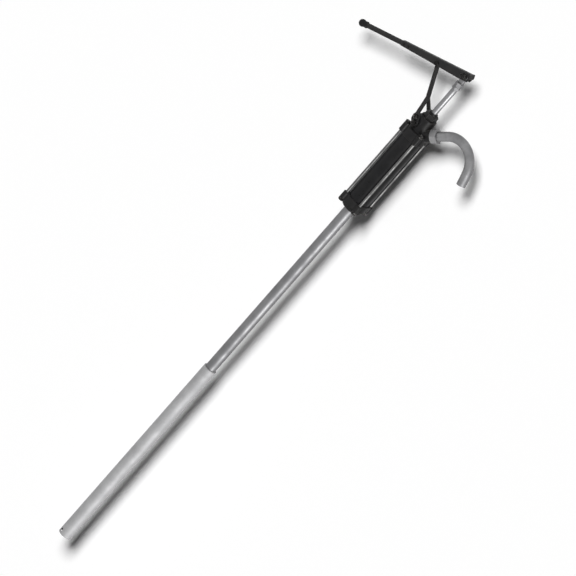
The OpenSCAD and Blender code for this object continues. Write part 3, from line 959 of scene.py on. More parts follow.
@dataclass
class Castings(SubAssembly):
    """The lower cap and the head, cast and painted, with their machined bores.

    Attributes:
        rim_r: Radius of both flanges.
        lobe_r: Radius of the lobes round the tie rods.
        ties: The tie rods that pass through both.
        barrel_r: Outer radius of the barrel, which sinks into both.
        pocket: How deep the barrel sinks into each.
        foot_r: Radius of the cap's foot.
        tube_r: Outer radius of the upper suction tube.
        tube_seat: How deep the tube sits in the cap.
        port_r: Radius of the way from the tube to the inlet seat.
        seat_r: Radius of the pocket of the inlet seat.
        seat_floor: Height of that pocket's floor above the cap's underside.
        chamber_r: Radius of the head's chamber.
        chamber_top: Height of that chamber's roof above the flange.
        way_r: Radius of the bush's hole and of the way to the spout.
        packing_r: Radius of the pocket of the gland's packing.
        packing_floor: Height of that pocket's floor above the flange.
        boss_r: Radius of the gland boss.
        lug: Radius of the cross lug that the arm is bolted to.
        lug_half: Half length of that lug.
        lug_at: Place of the lug's axis, as X and Z.
        socket_r: Outer radius of the spout socket.
        socket_bore: Radius of the spout in its socket.
        socket_foot: Where the socket's axis starts.
        socket_len: Length of the socket.
        spout_sink: How deep the spout sits in its socket.
        skin: Size of the cells of the cast skin.
        past: How far stock and tools run past the face that they meet.
        lap: How far two bores run into each other.
    """

    rim_r: float = 25.5
    lobe_r: float = 5.6
    ties: TieRods | None = None
    barrel_r: float = 23.0
    pocket: float = 6.0
    foot_r: float = 21.0
    tube_r: float = 11.0
    tube_seat: float = 10.0
    port_r: float = 9.5
    seat_r: float = 13.0
    seat_floor: float = 12.0
    chamber_r: float = 13.0
    chamber_top: float = 12.0
    way_r: float = 8.0
    packing_r: float = 10.0
    packing_floor: float = 20.0
    boss_r: float = 17.0
    lug: float = 12.0
    lug_half: float = 18.0
    lug_at: tuple[float, float] = (-11.0, 224.0)
    socket_r: float = 12.0
    socket_bore: float = 9.5
    socket_foot: tuple[float, float, float] = (10.0, 0.0, 200.0)
    socket_len: float = 34.0
    spout_sink: float = 12.0
    skin: float = 0.7
    past: float = 3.0
    lap: float = 2.0

    def build(self) -> None:
        """Builds both castings."""
        self.build_cap()
        self.build_head()

    def lobes(self, low: float, high: float) -> Draft:
        """Gives the stock of the lobes round the tie rods between two heights."""
        stock = Draft()
        for spot in self.ties.spots():
            stock.add(Draft().drum(self.lobe_r + 0.1, low, high, 40), spot)
        return stock

    def rod_holes(self, low: float, high: float) -> list[Draft]:
        """Gives the drills of the tie-rod holes between two heights."""
        hole = Draft().drum(self.ties.rod_r + 0.15, low, high, 32)
        return [Draft().add(hole, spot) for spot in self.ties.spots()]

    def build_cap(self) -> None:
        """Builds the lower cap."""
        low, high = (p.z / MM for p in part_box("lower_cap"))
        lobe_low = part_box("tie_washers_bottom")[1].z / MM
        stock = Draft().drum(self.foot_r, low, lobe_low + self.lap, 96)
        stock.drum(self.rim_r, lobe_low, high, 96)
        stock.add(self.lobes(lobe_low, high - 1.0))
        cap = stock.make("LowerCap")
        fuse(cap, self.skin, 5)
        tube_top, seat_z, top = low + self.tube_seat, low + self.seat_floor, high + self.past
        cutters = [
            Draft().drum(self.tube_r + 0.02, low - self.past, tube_top, 96),
            Draft().drum(self.port_r, tube_top - self.lap, seat_z + self.lap, 64),
            Draft().drum(self.seat_r, seat_z, top, 64),
            Draft().drum(self.barrel_r + 0.02, high - self.pocket, top, 96),
            *self.rod_holes(lobe_low - self.past, top),
        ]
        carve(cap, cutters)
        self.fit(cap, "pump", "black_paint", CASTING_PAINT, ["lower_cap"], crease=50.0)

    def build_head(self) -> None:
        """Builds the head with its gland boss, arm lug and spout socket."""
        low, high = (p.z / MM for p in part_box("head_casting"))
        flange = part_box("tie_washers_top")[0].z / MM
        socket = tilted(self.socket_foot, 45.0)
        stock = Draft().drum(self.rim_r, low, flange, 96)
        stock.add(self.lobes(low + 1, flange))
        stock.drum(self.boss_r, flange - self.past, high, 96)
        stock.add(
            Draft().drum(self.lug, -self.lug_half, self.lug_half, 64),
            along_y((self.lug_at[0], 0, self.lug_at[1])),
        )
        stock.add(Draft().drum(self.socket_r, 0, self.socket_len, 64), socket)
        head = stock.make("HeadCasting")
        fuse(head, self.skin, 6)
        mouth, pocket_top = self.socket_len + self.past, low + self.pocket
        roof, packing_z = flange + self.chamber_top, flange + self.packing_floor
        spout_hole = Draft().drum(self.socket_bore + 0.02, self.socket_len - self.spout_sink, mouth, 64)
        cutters = [
            Draft().drum(self.barrel_r + 0.02, low - self.past, pocket_top, 96),
            Draft().drum(self.chamber_r, pocket_top - self.lap, roof, 64),
            Draft().drum(self.way_r, roof - self.lap, packing_z + self.lap, 64),
            Draft().drum(self.packing_r, packing_z, high + self.past, 64),
            Draft().add(Draft().drum(self.way_r, 0, mouth, 64), socket),
            Draft().add(spout_hole, socket),
            *self.rod_holes(low - self.past, flange + self.past),
        ]
        carve(head, cutters)
        self.fit(head, "pump", "black_paint", CASTING_PAINT, ["head_casting"], crease=50.0)


@dataclass
class Gland(SubAssembly):
    """The gland nut that presses the packing round the piston rod.

    Attributes:
        flats: Width across flats of the hexagon.
        hex_h: Height of the hexagon.
        thread_r: Radius of the part inside the boss.
        bore: Radius of the hole for the rod.
        collar: Height of the round collar on top.
        collar_wall: Metal of that collar.
    """

    flats: float = 24.0
    hex_h: float = 11.0
    thread_r: float = 10.0
    bore: float = 6.2
    collar: float = 3.5
    collar_wall: float = 2.8

    def build(self) -> None:
        """Builds the gland nut."""
        low, high = (p.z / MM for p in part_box("gland_nut"))
        hex_low = high - self.collar - self.hex_h
        nut = Draft().hexagon(self.flats, self.hex_h, self.bore + 0.3, hex_low)
        nut.lathe(ring_outline(self.thread_r - 0.02, self.bore, low, hex_low + 1, 0.3), True, 64)
        collar = ring_outline(self.bore + self.collar_wall, self.bore, high - self.collar - 1, high, 0.9)
        nut.lathe(collar, True, 64)
        piece = nut.make("GlandNut")
        self.fit(piece, "pump", "black_paint", CASTING_PAINT, ["gland_nut"])


@dataclass
class Spout(SubAssembly):
    """The hooked spout with its nut.

    Attributes:
        mouth: Where the socket's mouth is.
        rise: Lean of the spout's root from the pump axis, in degrees.
        radius: Outer radius of the pipe.
        wall: Wall of the pipe.
        grip: How deep the pipe sits in its socket.
        root: Length of the straight root.
        bend: Radius of the bend.
        turn: Turn of the bend, in degrees.
        end: Length of the straight end.
        tip_step: How far the end is drawn down.
        nut_flats: Width across flats of the nut.
        nut_h: Height of the nut.
        nut_high: How far the nut stands past the socket's mouth.
        socket_r: Outer radius of the socket, inside the nut.
        seal_t: Thickness of the seal under the nut.
    """

    mouth: tuple[float, float, float] = (34.0416, 0.0, 224.0416)
    rise: float = 45.0
    radius: float = 9.5
    wall: float = 1.5
    grip: float = 12.0
    root: float = 27.0
    bend: float = 46.0
    turn: float = 120.0
    end: float = 25.0
    tip_step: float = 0.3
    nut_flats: float = 26.0
    nut_h: float = 14.0
    nut_high: float = 6.0
    socket_r: float = 12.0
    seal_t: float = 2.0

    def stations(self) -> list[tuple[Vector, Vector, float, float]]:
        """Gives the centre line of the pipe with its radii, from root to tip."""
        frame = tilted(self.mouth, self.rise)
        out, side = frame.to_3x3() @ Vector((0, 0, 1)), frame.to_3x3() @ Vector((1, 0, 0))
        inner = self.radius - self.wall
        made = []
        for z in (-self.grip, -self.grip + 0.4, 0.0, 0.5 * self.root):
            outer = self.radius - (0.4 if z == -self.grip else 0)
            made.append((frame @ Vector((0, 0, z)), out, outer, inner))
        steps = 36
        start = frame @ Vector((0, 0, self.root))
        for i in range(steps + 1):
            a = math.radians(self.turn * i / steps)
            centre = start + side * self.bend * (1 - math.cos(a)) + out * self.bend * math.sin(a)
            heading = side * math.sin(a) + out * math.cos(a)
            flat = 0.22 * math.sin(math.pi * i / steps)
            made.append((centre, heading, self.radius - flat, inner - flat))
        last, heading = made[-1][0], made[-1][1]
        tip = self.radius - self.tip_step
        for z, outer, bore in (
            (2.0, self.radius, inner),
            (3.2, tip, tip - self.wall),
            (self.end - 0.5, tip, tip - self.wall),
            (self.end - 0.12, tip - 0.15, tip - self.wall),
            (self.end, tip - 0.5, tip - self.wall + 0.35),
        ):
            made.append((last + heading * z, heading, outer, bore))
        return made

    def build(self) -> None:
        """Builds the spout and its nut."""
        stations, segments = self.stations(), 48
        pipe = Draft().pipe(stations, segments).make("Spout")
        self.fit(pipe, "pump", "bright_zinc", SPOUT_PLATE, ["spout"])
        # The inside of the spout is painted dark, as painted shade in its bore.
        self.dresser.line(pipe, BORE_PAINTED_SHADE, lambda face: face.index >= len(stations) * segments)
        frame = tilted(self.mouth, self.rise)
        base = self.nut_high - self.nut_h
        hexagon = Draft().hexagon(self.nut_flats, self.nut_h, self.radius, base)
        nut = Draft().add(hexagon, frame).make("SpoutNut")
        skirt_bore = Draft().drum(self.socket_r - 0.36, base - 1, self.seal_t, 72)
        carve(nut, [Draft().add(skirt_bore, frame)])
        self.fit(nut, "pump", "bright_zinc", SPOUT_PLATE, ["spout_nut"])


@dataclass
class FulcrumArm(SubAssembly):
    """The forked arm that carries the lever, with its bolts.

    Attributes:
        foot: Place of the arm's foot, as X and Z.
        eye: Place of the fulcrum pin, as X and Z.
        straddle: Half of the width inside the two feet.
        foot_t: Thickness of a foot.
        blade_t: Thickness of the blade along the pin.
        blade_w: Width of the blade.
        fork: Where the legs start to close in and where they meet.
        eye_r: Radius of the eye.
        pin_r: Radius of the fulcrum pin.
        pad_r: Radius of the pads round the bolts.
        pitch: Distance between the bolts of a foot.
        bolt_r: Radius of a bolt.
        bolt_sink: How deep a bolt goes into the head.
        head_flats: Width across flats of a bolt's head.
        head_h: Height of a bolt's head.
        washer_t: Thickness of a washer.
        washer_r: Radius of a washer.
        crown_r: Radius of the crown on a bolt's head.
    """

    foot: tuple[float, float] = (-11.0, 224.0)
    eye: tuple[float, float] = (-60.0, 323.7584)
    straddle: float = 18.0
    foot_t: float = 5.0
    blade_t: float = 6.0
    blade_w: float = 7.0
    fork: tuple[float, float] = (13.0, 44.0)
    eye_r: float = 5.0
    pin_r: float = 3.0
    pad_r: float = 7.5
    pitch: float = 12.0
    bolt_r: float = 3.0
    bolt_sink: float = 6.6
    head_flats: float = 10.0
    head_h: float = 4.0
    washer_t: float = 1.0
    washer_r: float = 5.6
    crown_r: float = 3.9

    def frame(self) -> Matrix:
        """Gives the arm's frame: origin between its feet, +Z to the fulcrum pin."""
        run = (self.eye[0] - self.foot[0], self.eye[1] - self.foot[1])
        return tilted((self.foot[0], 0, self.foot[1]), math.degrees(math.atan2(run[0], run[1])))

    def length(self) -> float:
        """Gives the distance from the feet to the fulcrum pin."""
        return math.hypot(self.eye[0] - self.foot[0], self.eye[1] - self.foot[1])

    def bolts(self) -> list[Matrix]:
        """Gives the frame of each foot bolt, +Z out of the foot."""
        frame = self.frame()
        return [
            frame @ along_y((0, side * self.straddle, along * self.pitch / 2), side)
            for side in (-1, 1)
            for along in (-1, 1)
        ]

    def build(self) -> None:
        """Builds the arm and its bolts."""
        frame, tall, half = self.frame(), self.length(), self.blade_t / 2
        outer, (low, high) = self.straddle + self.foot_t, self.fork
        fork = [
            (half, tall), (-half, tall), (-half, high), (-outer, low), (-outer, 0), (-self.straddle, 0),
            (-self.straddle, low - 1), (0, high - 4), (self.straddle, low - 1), (self.straddle, 0),
            (outer, 0), (outer, low), (half, high),
        ]
        sideways = frame @ place((0, 0, 0), (0, 1, 0), (1, 0, 0))
        blade = Draft().prism(fork, -self.blade_w / 2, self.blade_w / 2)
        stock = Draft().add(blade, sideways)
        stock.add(Draft().drum(self.eye_r, -half, half), frame @ along_y((0, 0, tall)))
        for spot in self.bolts():
            stock.add(Draft().drum(self.pad_r, 0, self.foot_t), spot)
        reach = self.pitch / 2
        pad = [(-self.pad_r, -reach), (self.pad_r, -reach), (self.pad_r, reach), (-self.pad_r, reach)]
        for side in (-1, 1):
            foot = frame @ along_y((0, side * self.straddle, 0), side)
            stock.add(Draft().prism(pad, 0, self.foot_t), foot)
        arm = stock.make("FulcrumArm")
        fuse(arm, 0.5, 4)
        eye = Draft().add(Draft().drum(self.pin_r + 0.05, -outer, outer), frame @ along_y((0, 0, tall)))
        drill = Draft().drum(self.bolt_r + 0.02, -2, self.foot_t + 3)
        carve(arm, [eye, *(Draft().add(drill, spot) for spot in self.bolts())])
        self.fit(arm, "pump", "lever_paint", LEVER_PAINT, ["fulcrum_arm"], crease=50.0)
        self.build_bolts()

    def build_bolts(self) -> None:
        """Builds the hexagon-headed bolts of both feet and their washers."""
        bolts, washers = Draft(), Draft()
        seat = self.foot_t + self.washer_t
        for i, spot in enumerate(self.bolts()):
            turned = spot @ Matrix.Rotation(math.radians(11 + 37 * i), 4, "Z")
            bolts.add(Draft().drum(self.bolt_r, -self.bolt_sink, seat + 1, 40), turned)
            low, high, r = seat + 0.5, seat + 3.6, self.crown_r
            dome = rounded([(0.05, low, 0), (r, low, 0), (r, high, 0.5), (0.05, high + 0.15, 0)])
            bolts.add(Draft().hexagon(self.head_flats, self.head_h, 3.2, seat), turned)
            bolts.add(Draft().lathe(dome, True, 40), turned)
            ring = ring_outline(self.washer_r, self.bolt_r, self.foot_t, seat, 0.2)
            washers.add(Draft().lathe(ring, True, 48), spot)
        self.fit(bolts.make("ArmBolts"), "pump", "dark_steel", BOLT_STEEL, ["arm_bolts"])
        self.fit(washers.make("ArmWashers"), "pump", "dark_steel", BOLT_STEEL, ["arm_washers"])


@dataclass
class Lever(SubAssembly):
    """The pressed lever with its handle bar, knob, rivets and fulcrum pin.

    Attributes:
        fulcrum: Place of the fulcrum pin, as X and Z.
        tilt: Rise of the lever towards the rod at rest, in degrees.
        width: Width of the channel.
        wall: Metal of the channel.
        rise: Height of the channel's top above the pins.
        back: Length of the channel on the handle side.
        front: Length of the channel on the rod side.
        underside: Lower edge of the cheeks, as X and Z along the lever.
        nose_slope: Rise of that edge past its last point, for each millimetre.
        fold: Outer radius of the channel's folds.
        slot: Ends of the slot's straight part along the lever.
        slot_half: Half height of the slot.
        tang_z: Height of the handle bar above the pins.
        bar_r: Radius of the handle bar.
        tang_r: Radius of its tang inside the channel.
        tang_sink: Length of that tang.
        reach: Distance from the fulcrum to the knob's centre.
        knob_r: Radius of the knob.
        rivets: Places of the rivets along the lever.
        rivet_r: Radius of a rivet.
        pin_r: Radius of the fulcrum pin.
    """

    fulcrum: tuple[float, float] = (-60.0, 323.7584)
    tilt: float = 22.0
    width: float = 13.0
    wall: float = 2.0
    rise: float = 9.5
    back: float = 85.0
    front: float = 79.05
    underside: tuple[tuple[float, float], ...] = ((-85.0, -1.0), (0.0, -5.0), (50.2, -7.5), (73.05, -7.5))
    nose_slope: float = 1.417
    fold: float = 2.6
    slot: tuple[float, float] = (59.2, 68.75)
    slot_half: float = 4.35
    tang_z: float = 3.5
    bar_r: float = 5.0
    tang_r: float = 4.0
    tang_sink: float = 24.0
    reach: float = 180.0
    knob_r: float = 7.5
    rivets: tuple[float, float] = (-79.0, -67.0)
    rivet_r: float = 2.0
    pin_r: float = 3.0

    def frame(self) -> Matrix:
        """Gives the lever's frame: origin on the fulcrum pin, +X to the rod pin."""
        return tilted((self.fulcrum[0], 0, self.fulcrum[1]), -self.tilt)

    def bar_frame(self) -> Matrix:
        """Gives the handle bar's frame: +Z out to the knob, +X down."""
        return self.frame() @ place((0, 0, self.tang_z), (0, 0, -1), (-1, 0, 0))

    def build(self) -> None:
        """Builds every piece of the lever."""
        self.build_channel()
        self.build_bar()
        self.build_knob()
        self.build_rivets()
        self.build_pin()

    def foot_of(self, x: float) -> float:
        """Gives the height of the cheeks' lower edge at a place along the lever."""
        pts = self.underside
        for (x0, z0), (x1, z1) in zip(pts, pts[1:]):
            if x <= x1:
                return z0 + (z1 - z0) * (x - x0) / (x1 - x0)
        return pts[-1][1]

    def section(self, x: float, low: float, top: float) -> list[Vector]:
        """Gives the closed section of the channel at a place along the lever.

        Args:
            x: The place along the lever.
            low: Height of the cheeks' lower edge there.
            top: Height of the channel's top there.

        Returns:
            The section's points, the same number at every place.
        """
        half, inside = self.width / 2, self.width / 2 - self.wall
        ceiling = top - self.wall
        corners = [
            (-half, low, 0.6), (-half, top, self.fold), (half, top, self.fold), (half, low, 0.6),
            (inside, low, 0.6), (inside, ceiling, self.fold - self.wall + 0.3),
            (-inside, ceiling, self.fold - self.wall + 0.3), (-inside, low, 0.6),
        ]
        return [Vector((x, y, z)) for y, z in rounded(corners, 4)]

    def build_channel(self) -> None:
        """Builds the pressed channel with its closed front, slot and holes."""
        frame = self.frame()
        bend = self.underside[-1][0]
        stations = [-self.back + 5.0 * t for t in range(31)] + [69.0, bend, self.front - 3.0]
        rows = []
        for x in stations:
            low = self.foot_of(x) + max(0.0, x - bend) * self.nose_slope
            rows.append(self.section(x, low, self.rise))
        channel = Draft().skin(rows, False)
        stem = Draft().add(channel, frame).make("LeverChannel")
        front, rise = self.front, self.rise
        cap = rounded(
            [(front - 2.0, -1.6, 0.3), (front, 1.2, 0.8), (front, rise, 2.4), (front - 3.6, rise, 0.0),
             (front - 3.6, rise - 2.0, 0.0), (front - 2.0, rise - 2.4, 0.4)],
            4,
        )
        inner = self.width / 2 - 0.02
        flat = place((0, 0, 0), (1, 0, 0), (0, -1, 0))
        nose = Draft().add(Draft().prism(cap, -inner, inner), frame @ flat).make("nose")
        soften(nose, 0.8)
        obround = [
            (x + self.slot_half * math.cos(a), self.slot_half * math.sin(a))
            for x, first in ((self.slot[1], -90), (self.slot[0], 90))
            for a in (math.radians(first + 15 * k) for k in range(13))
        ]
        through = 12.0
        tools = [Draft().add(Draft().prism(obround, -through, through), frame @ flat)]
        tools.append(Draft().add(Draft().drum(self.pin_r + 0.02, -through, through), frame @ along_y()))
        drill = Draft().drum(self.rivet_r + 0.02, -through, through, 32)
        for x in self.rivets:
            tools.append(Draft().add(drill, frame @ along_y((x, 0, self.tang_z))))
        carve(stem, tools)
        join(stem, nose)
        self.fit(stem, "lever", "lever_paint", LEVER_PAINT, ["lever_channel"])

    def build_bar(self) -> None:
        """Builds the handle bar with its shouldered tang."""
        start, end = self.back + 0.3, self.reach
        tang_end = self.back - self.tang_sink
        outline = rounded(
            [
                (0.05, tang_end, 0), (self.tang_r, tang_end, 0.8), (self.tang_r, start, 0.0),
                (self.bar_r - 0.02, start, 1.2), (self.bar_r, start + 6, 0), (self.bar_r, end - 11, 0),
                (self.bar_r - 0.1, end, 0), (0.05, end, 0),
            ],
            4,
            closed=False,
        )
        bar = Draft().add(Draft().lathe(outline, False, 48), self.bar_frame()).make("HandleBar")
        self.fit(bar, "lever", "lever_paint", LEVER_PAINT, ["handle_bar"])

    def build_knob(self) -> None:
        """Builds the ball knob with its collar and mould line."""
        r, neck = self.knob_r, self.bar_r + 1.5
        outline: Outline = [(self.bar_r + 0.02, -r - 3.4), (neck - 0.5, -r - 4.0), (neck, -r - 3.4)]
        outline += [(neck, -r - 1.0), (neck - 0.35, -r + 1.2)]
        first = math.asin((neck - 0.2) / r)
        for k in range(33):
            a = math.pi - first - (math.pi - first) * k / 33
            seam = 0.07 if abs(a - math.pi / 2) < 0.03 else 0.0
            outline.append(((r + seam) * math.sin(a), (r + seam) * math.cos(a)))
        outline += [(0.05, r), (0.05, 0.0), (self.bar_r + 0.02, 0.0)]
        there = self.bar_frame() @ Matrix.Translation((0, 0, self.reach))
        knob = Draft().add(Draft().lathe(outline, True, 64), there).make("HandleKnob")
        self.fit(knob, "lever", "knob", KNOB_PLASTIC, ["handle_knob"])

    def build_rivets(self) -> None:
        """Builds the round-headed rivets that hold the bar in the channel."""
        rivets, half = Draft(), self.width / 2
        head = [(self.rivet_r + 1.0, half)] + [
            ((self.rivet_r + 1.0) * math.cos(math.radians(a)), half + 1.4 * math.sin(math.radians(a)))
            for a in (12, 26, 42, 60, 78)
        ] + [(0.05, half + 1.4)]
        outline = [(0.05, -half - 1.4)] + [(r, -z) for r, z in head[-2::-1]]
        outline += [(self.rivet_r, -half), (self.rivet_r, half)] + head
        for x in self.rivets:
            rivets.add(Draft().lathe(outline, False, 40), self.frame() @ along_y((x, 0, self.tang_z)))
        self.fit(rivets.make("HandleRivets"), "lever", "dark_steel", BOLT_STEEL, ["handle_rivets"])

    def build_pin(self) -> None:
        """Builds the fulcrum pin with its head and the clip at its other end."""
        half = self.width / 2
        pin = rounded(
            [
                (0.05, -half - 2.5, 0), (self.pin_r + 1.95, -half - 2.5, 0.9),
                (self.pin_r + 1.95, -half, 0.3), (self.pin_r - 0.02, -half, 0),
                (self.pin_r - 0.02, half, 0), (self.pin_r - 0.5, half, 0),
                (self.pin_r - 0.5, half + 1.0, 0), (self.pin_r - 0.02, half + 1.0, 0),
                (self.pin_r - 0.02, half + 2.5, 0.6), (0.05, half + 2.5, 0),
            ],
            3,
            closed=False,
        )
        spot = self.frame() @ along_y()
        piece = Draft().add(Draft().lathe(pin, False, 48), spot).make("FulcrumPin")
        self.fit(piece, "lever", "dark_steel", BOLT_STEEL, ["fulcrum_pin"])
        clip = circlip(self.pin_r, half)
        ring = Draft().add(clip, spot @ Matrix.Rotation(math.radians(200), 4, "Z")).make("FulcrumClip")
        self.fit(ring, "lever", "dark_steel", BOLT_STEEL, ["fulcrum_clip"])


def circlip(shaft: float, base: float) -> Draft:
    """Makes an open spring clip that sits in the groove of a pin.

    Args:
        shaft: Radius of the pin.
        base: Height of its lower face along the pin.

    Returns:
        The clip, in the pin's frame.
    """
    rows = []
    count = 40
    for k in range(count + 1):
        a = math.radians(32 + 296 * k / count)
        inner = shaft - 0.45 if k % 20 < 4 or k in (19, 20, 21) else shaft + 0.15
        outer = shaft + 1.95 - (0.5 if k in (0, count) else 0.0)
        section = [(inner, 0.1), (outer, 0.1), (outer, 0.9), (inner, 0.9)]
        rows.append([Vector((r * math.cos(a), r * math.sin(a), base + z)) for r, z in section])
    return Draft().skin(rows, False)


@dataclass
class PistonRod(SubAssembly):
    """The polished rod with its lock nut, eye, cross pin, washers and clips.

    Attributes:
        rod_r: Radius of the rod.
        stud_r: Radius of its threaded ends.
        shoulder: Height of the shoulder under the lock nut.
        piston_top: Height of the shoulder that bears on the piston.
        collar_flats: Width across flats of the lock nut and of the eye.
        locknut_h: Height of the lock nut.
        collar_h: Height of the eye's hexagon.
        eye_r: Radius of the eye.
        tongue_t: Thickness of the eye's tongue.
        pin_z: Height of the cross pin.
        pin_r: Radius of the cross pin.
        lever_w: Width of the lever that the pin passes through.
        washer_r: Radius of the pin's washers.
        side_gap: Gap between the lever and a washer.
    """

    rod_r: float = 6.0
    stud_r: float = 4.0
    shoulder: float = 316.0
    piston_top: float = 126.0
    collar_flats: float = 14.0
    locknut_h: float = 6.0
    collar_h: float = 10.0
    eye_r: float = 5.5
    tongue_t: float = 8.0
    pin_z: float = 348.0
    pin_r: float = 3.0
    lever_w: float = 13.0
    washer_r: float = 7.0
    side_gap: float = 0.3

    def build(self) -> None:
        """Builds the rod and what joins it to the lever."""
        self.build_rod()
        self.build_eye()
        self.build_pin()

    def build_rod(self) -> None:
        """Builds the rod with its turned shoulders and its lock nut."""
        low, high = (p.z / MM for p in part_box("piston_rod"))
        outline = rounded(
            [
                (0.05, low, 0), (self.stud_r - 0.02, low, 0.6), (self.stud_r - 0.02, self.piston_top, 0),
                (self.rod_r, self.piston_top, 0.4), (self.rod_r, self.shoulder, 0.9),
                (self.stud_r - 0.02, self.shoulder, 0), (self.stud_r - 0.02, high, 0.6), (0.05, high, 0),
            ],
            3,
            closed=False,
        )
        rod = Draft().lathe(outline, False, 64).make("PistonRod")
        self.fit(rod, "rod", "steel", ROD_STEEL, ["piston_rod"])
        nut = Draft().hexagon(self.collar_flats, self.locknut_h, self.stud_r, self.shoulder)
        piece = Draft().add(nut, Matrix.Rotation(math.radians(9), 4, "Z")).make("RodLocknut")
        self.fit(piece, "rod", "bright_zinc", TUBE_ZINC, ["rod_locknut"])

    def build_eye(self) -> None:
        """Builds the eye that the cross pin is held in."""
        base = self.shoulder + self.locknut_h
        foot, half = base + self.collar_h - 0.4, self.tongue_t / 2
        outline = [(-self.eye_r, foot)] + [
            (-self.eye_r * math.cos(a), self.pin_z + self.eye_r * math.sin(a))
            for a in (math.radians(10 * k) for k in range(19))
        ] + [(self.eye_r, foot)]
        flat = place((0, 0, 0), (1, 0, 0), (0, -1, 0))
        tongue = Draft().add(Draft().prism(outline, -half, half), flat).make("RodEye")
        soften(tongue, 0.7)
        hole = Draft().add(Draft().drum(self.pin_r + 0.01, -9, 9), along_y((0, 0, self.pin_z)))
        carve(tongue, [hole])
        collar = Draft().hexagon(self.collar_flats, self.collar_h, self.stud_r, base)
        plug = Draft().drum(self.stud_r + 0.2, base + 8.2, base + 9.9, 32)
        joined = Draft().add(collar).add(plug).make("collar")
        join(tongue, joined)
        self.fit(tongue, "rod", "bright_zinc", TUBE_ZINC, ["rod_eye"])

    def build_pin(self) -> None:
        """Builds the cross pin with a washer and a clip at each end."""
        seat = self.lever_w / 2 + self.side_gap
        end = seat + 3.0
        r, groove = self.pin_r, self.pin_r - 0.5
        half = [
            (r, seat + 1.0), (groove, seat + 1.0), (groove, seat + 2.0), (r, seat + 2.0),
            (r, end - 0.4), (r - 0.4, end),
        ]
        outline = [(0.05, -end)] + [(x, -z) for x, z in half[::-1]] + half + [(0.05, end)]
        spot = along_y((0, 0, self.pin_z))
        pin = Draft().add(Draft().lathe(outline, False, 48), spot).make("RodPin")
        self.fit(pin, "rod", "dark_steel", BOLT_STEEL, ["rod_pin"])
        washers, clips = Draft(), Draft()
        for side in (-1, 1):
            out = along_y((0, 0, self.pin_z), side)
            ring = ring_outline(self.washer_r, self.pin_r, seat, seat + 1, 0.25)
            washers.add(Draft().lathe(ring, True, 56), out)
            turn = Matrix.Rotation(math.radians(70 * side), 4, "Z")
            clips.add(circlip(self.pin_r, seat + 1), out @ turn)
        self.fit(washers.make("RodPinWashers"), "rod", "dark_steel", BOLT_STEEL, ["rod_pin_washers"])
        self.fit(clips.make("RodPinClips"), "rod", "dark_steel", BOLT_STEEL, ["rod_pin_clips"])


@dataclass
class KeptNodes(SubAssembly):
    """The CAD pieces that stay as they are and only get a better finish.

    Attributes:
        finishes: Finish of each kept node.
    """

    finishes: dict[str, Finish] = field(
        default_factory=lambda: {
            "barrel": BARREL_ENAMEL,
            "slip_ring": TURNED_BRASS,
            "slip_seal": SEAL_RUBBER,
            "cap_gasket": SEAL_RUBBER,
            "head_gasket": SEAL_RUBBER,
            "inlet_seat": TURNED_BRASS,
            "inlet_ball": ROD_STEEL,
            "ball_cage": TURNED_BRASS,
            "tie_washers_top": BOLT_STEEL,
            "tie_washers_bottom": BOLT_STEEL,
            "rod_bush": TURNED_BRASS,
            "gland_packing": SEAL_RUBBER,
            "spout_seal": SEAL_RUBBER,
            "piston": TURNED_BRASS,
            "piston_cup_upper": CUP_LEATHER,
            "piston_cup_lower": CUP_LEATHER,
            "piston_valve": ROD_STEEL,
            "valve_stop": ROD_STEEL,
            "piston_nut": BOLT_STEEL,
            "fulcrum_spacers": TURNED_BRASS,
        }
    )

    def dress(self, nodes: dict[str, bpy.types.Object]) -> None:
        """Gives each kept node its finish.

        Args:
            nodes: The CAD nodes by name.
        """
        for name, finish in self.finishes.items():
            self.dresser.repaint(nodes[name], finish)
            LOG.info("%s: kept, %s", name, finish.name)


# ---------------------------------------------------------------- studio


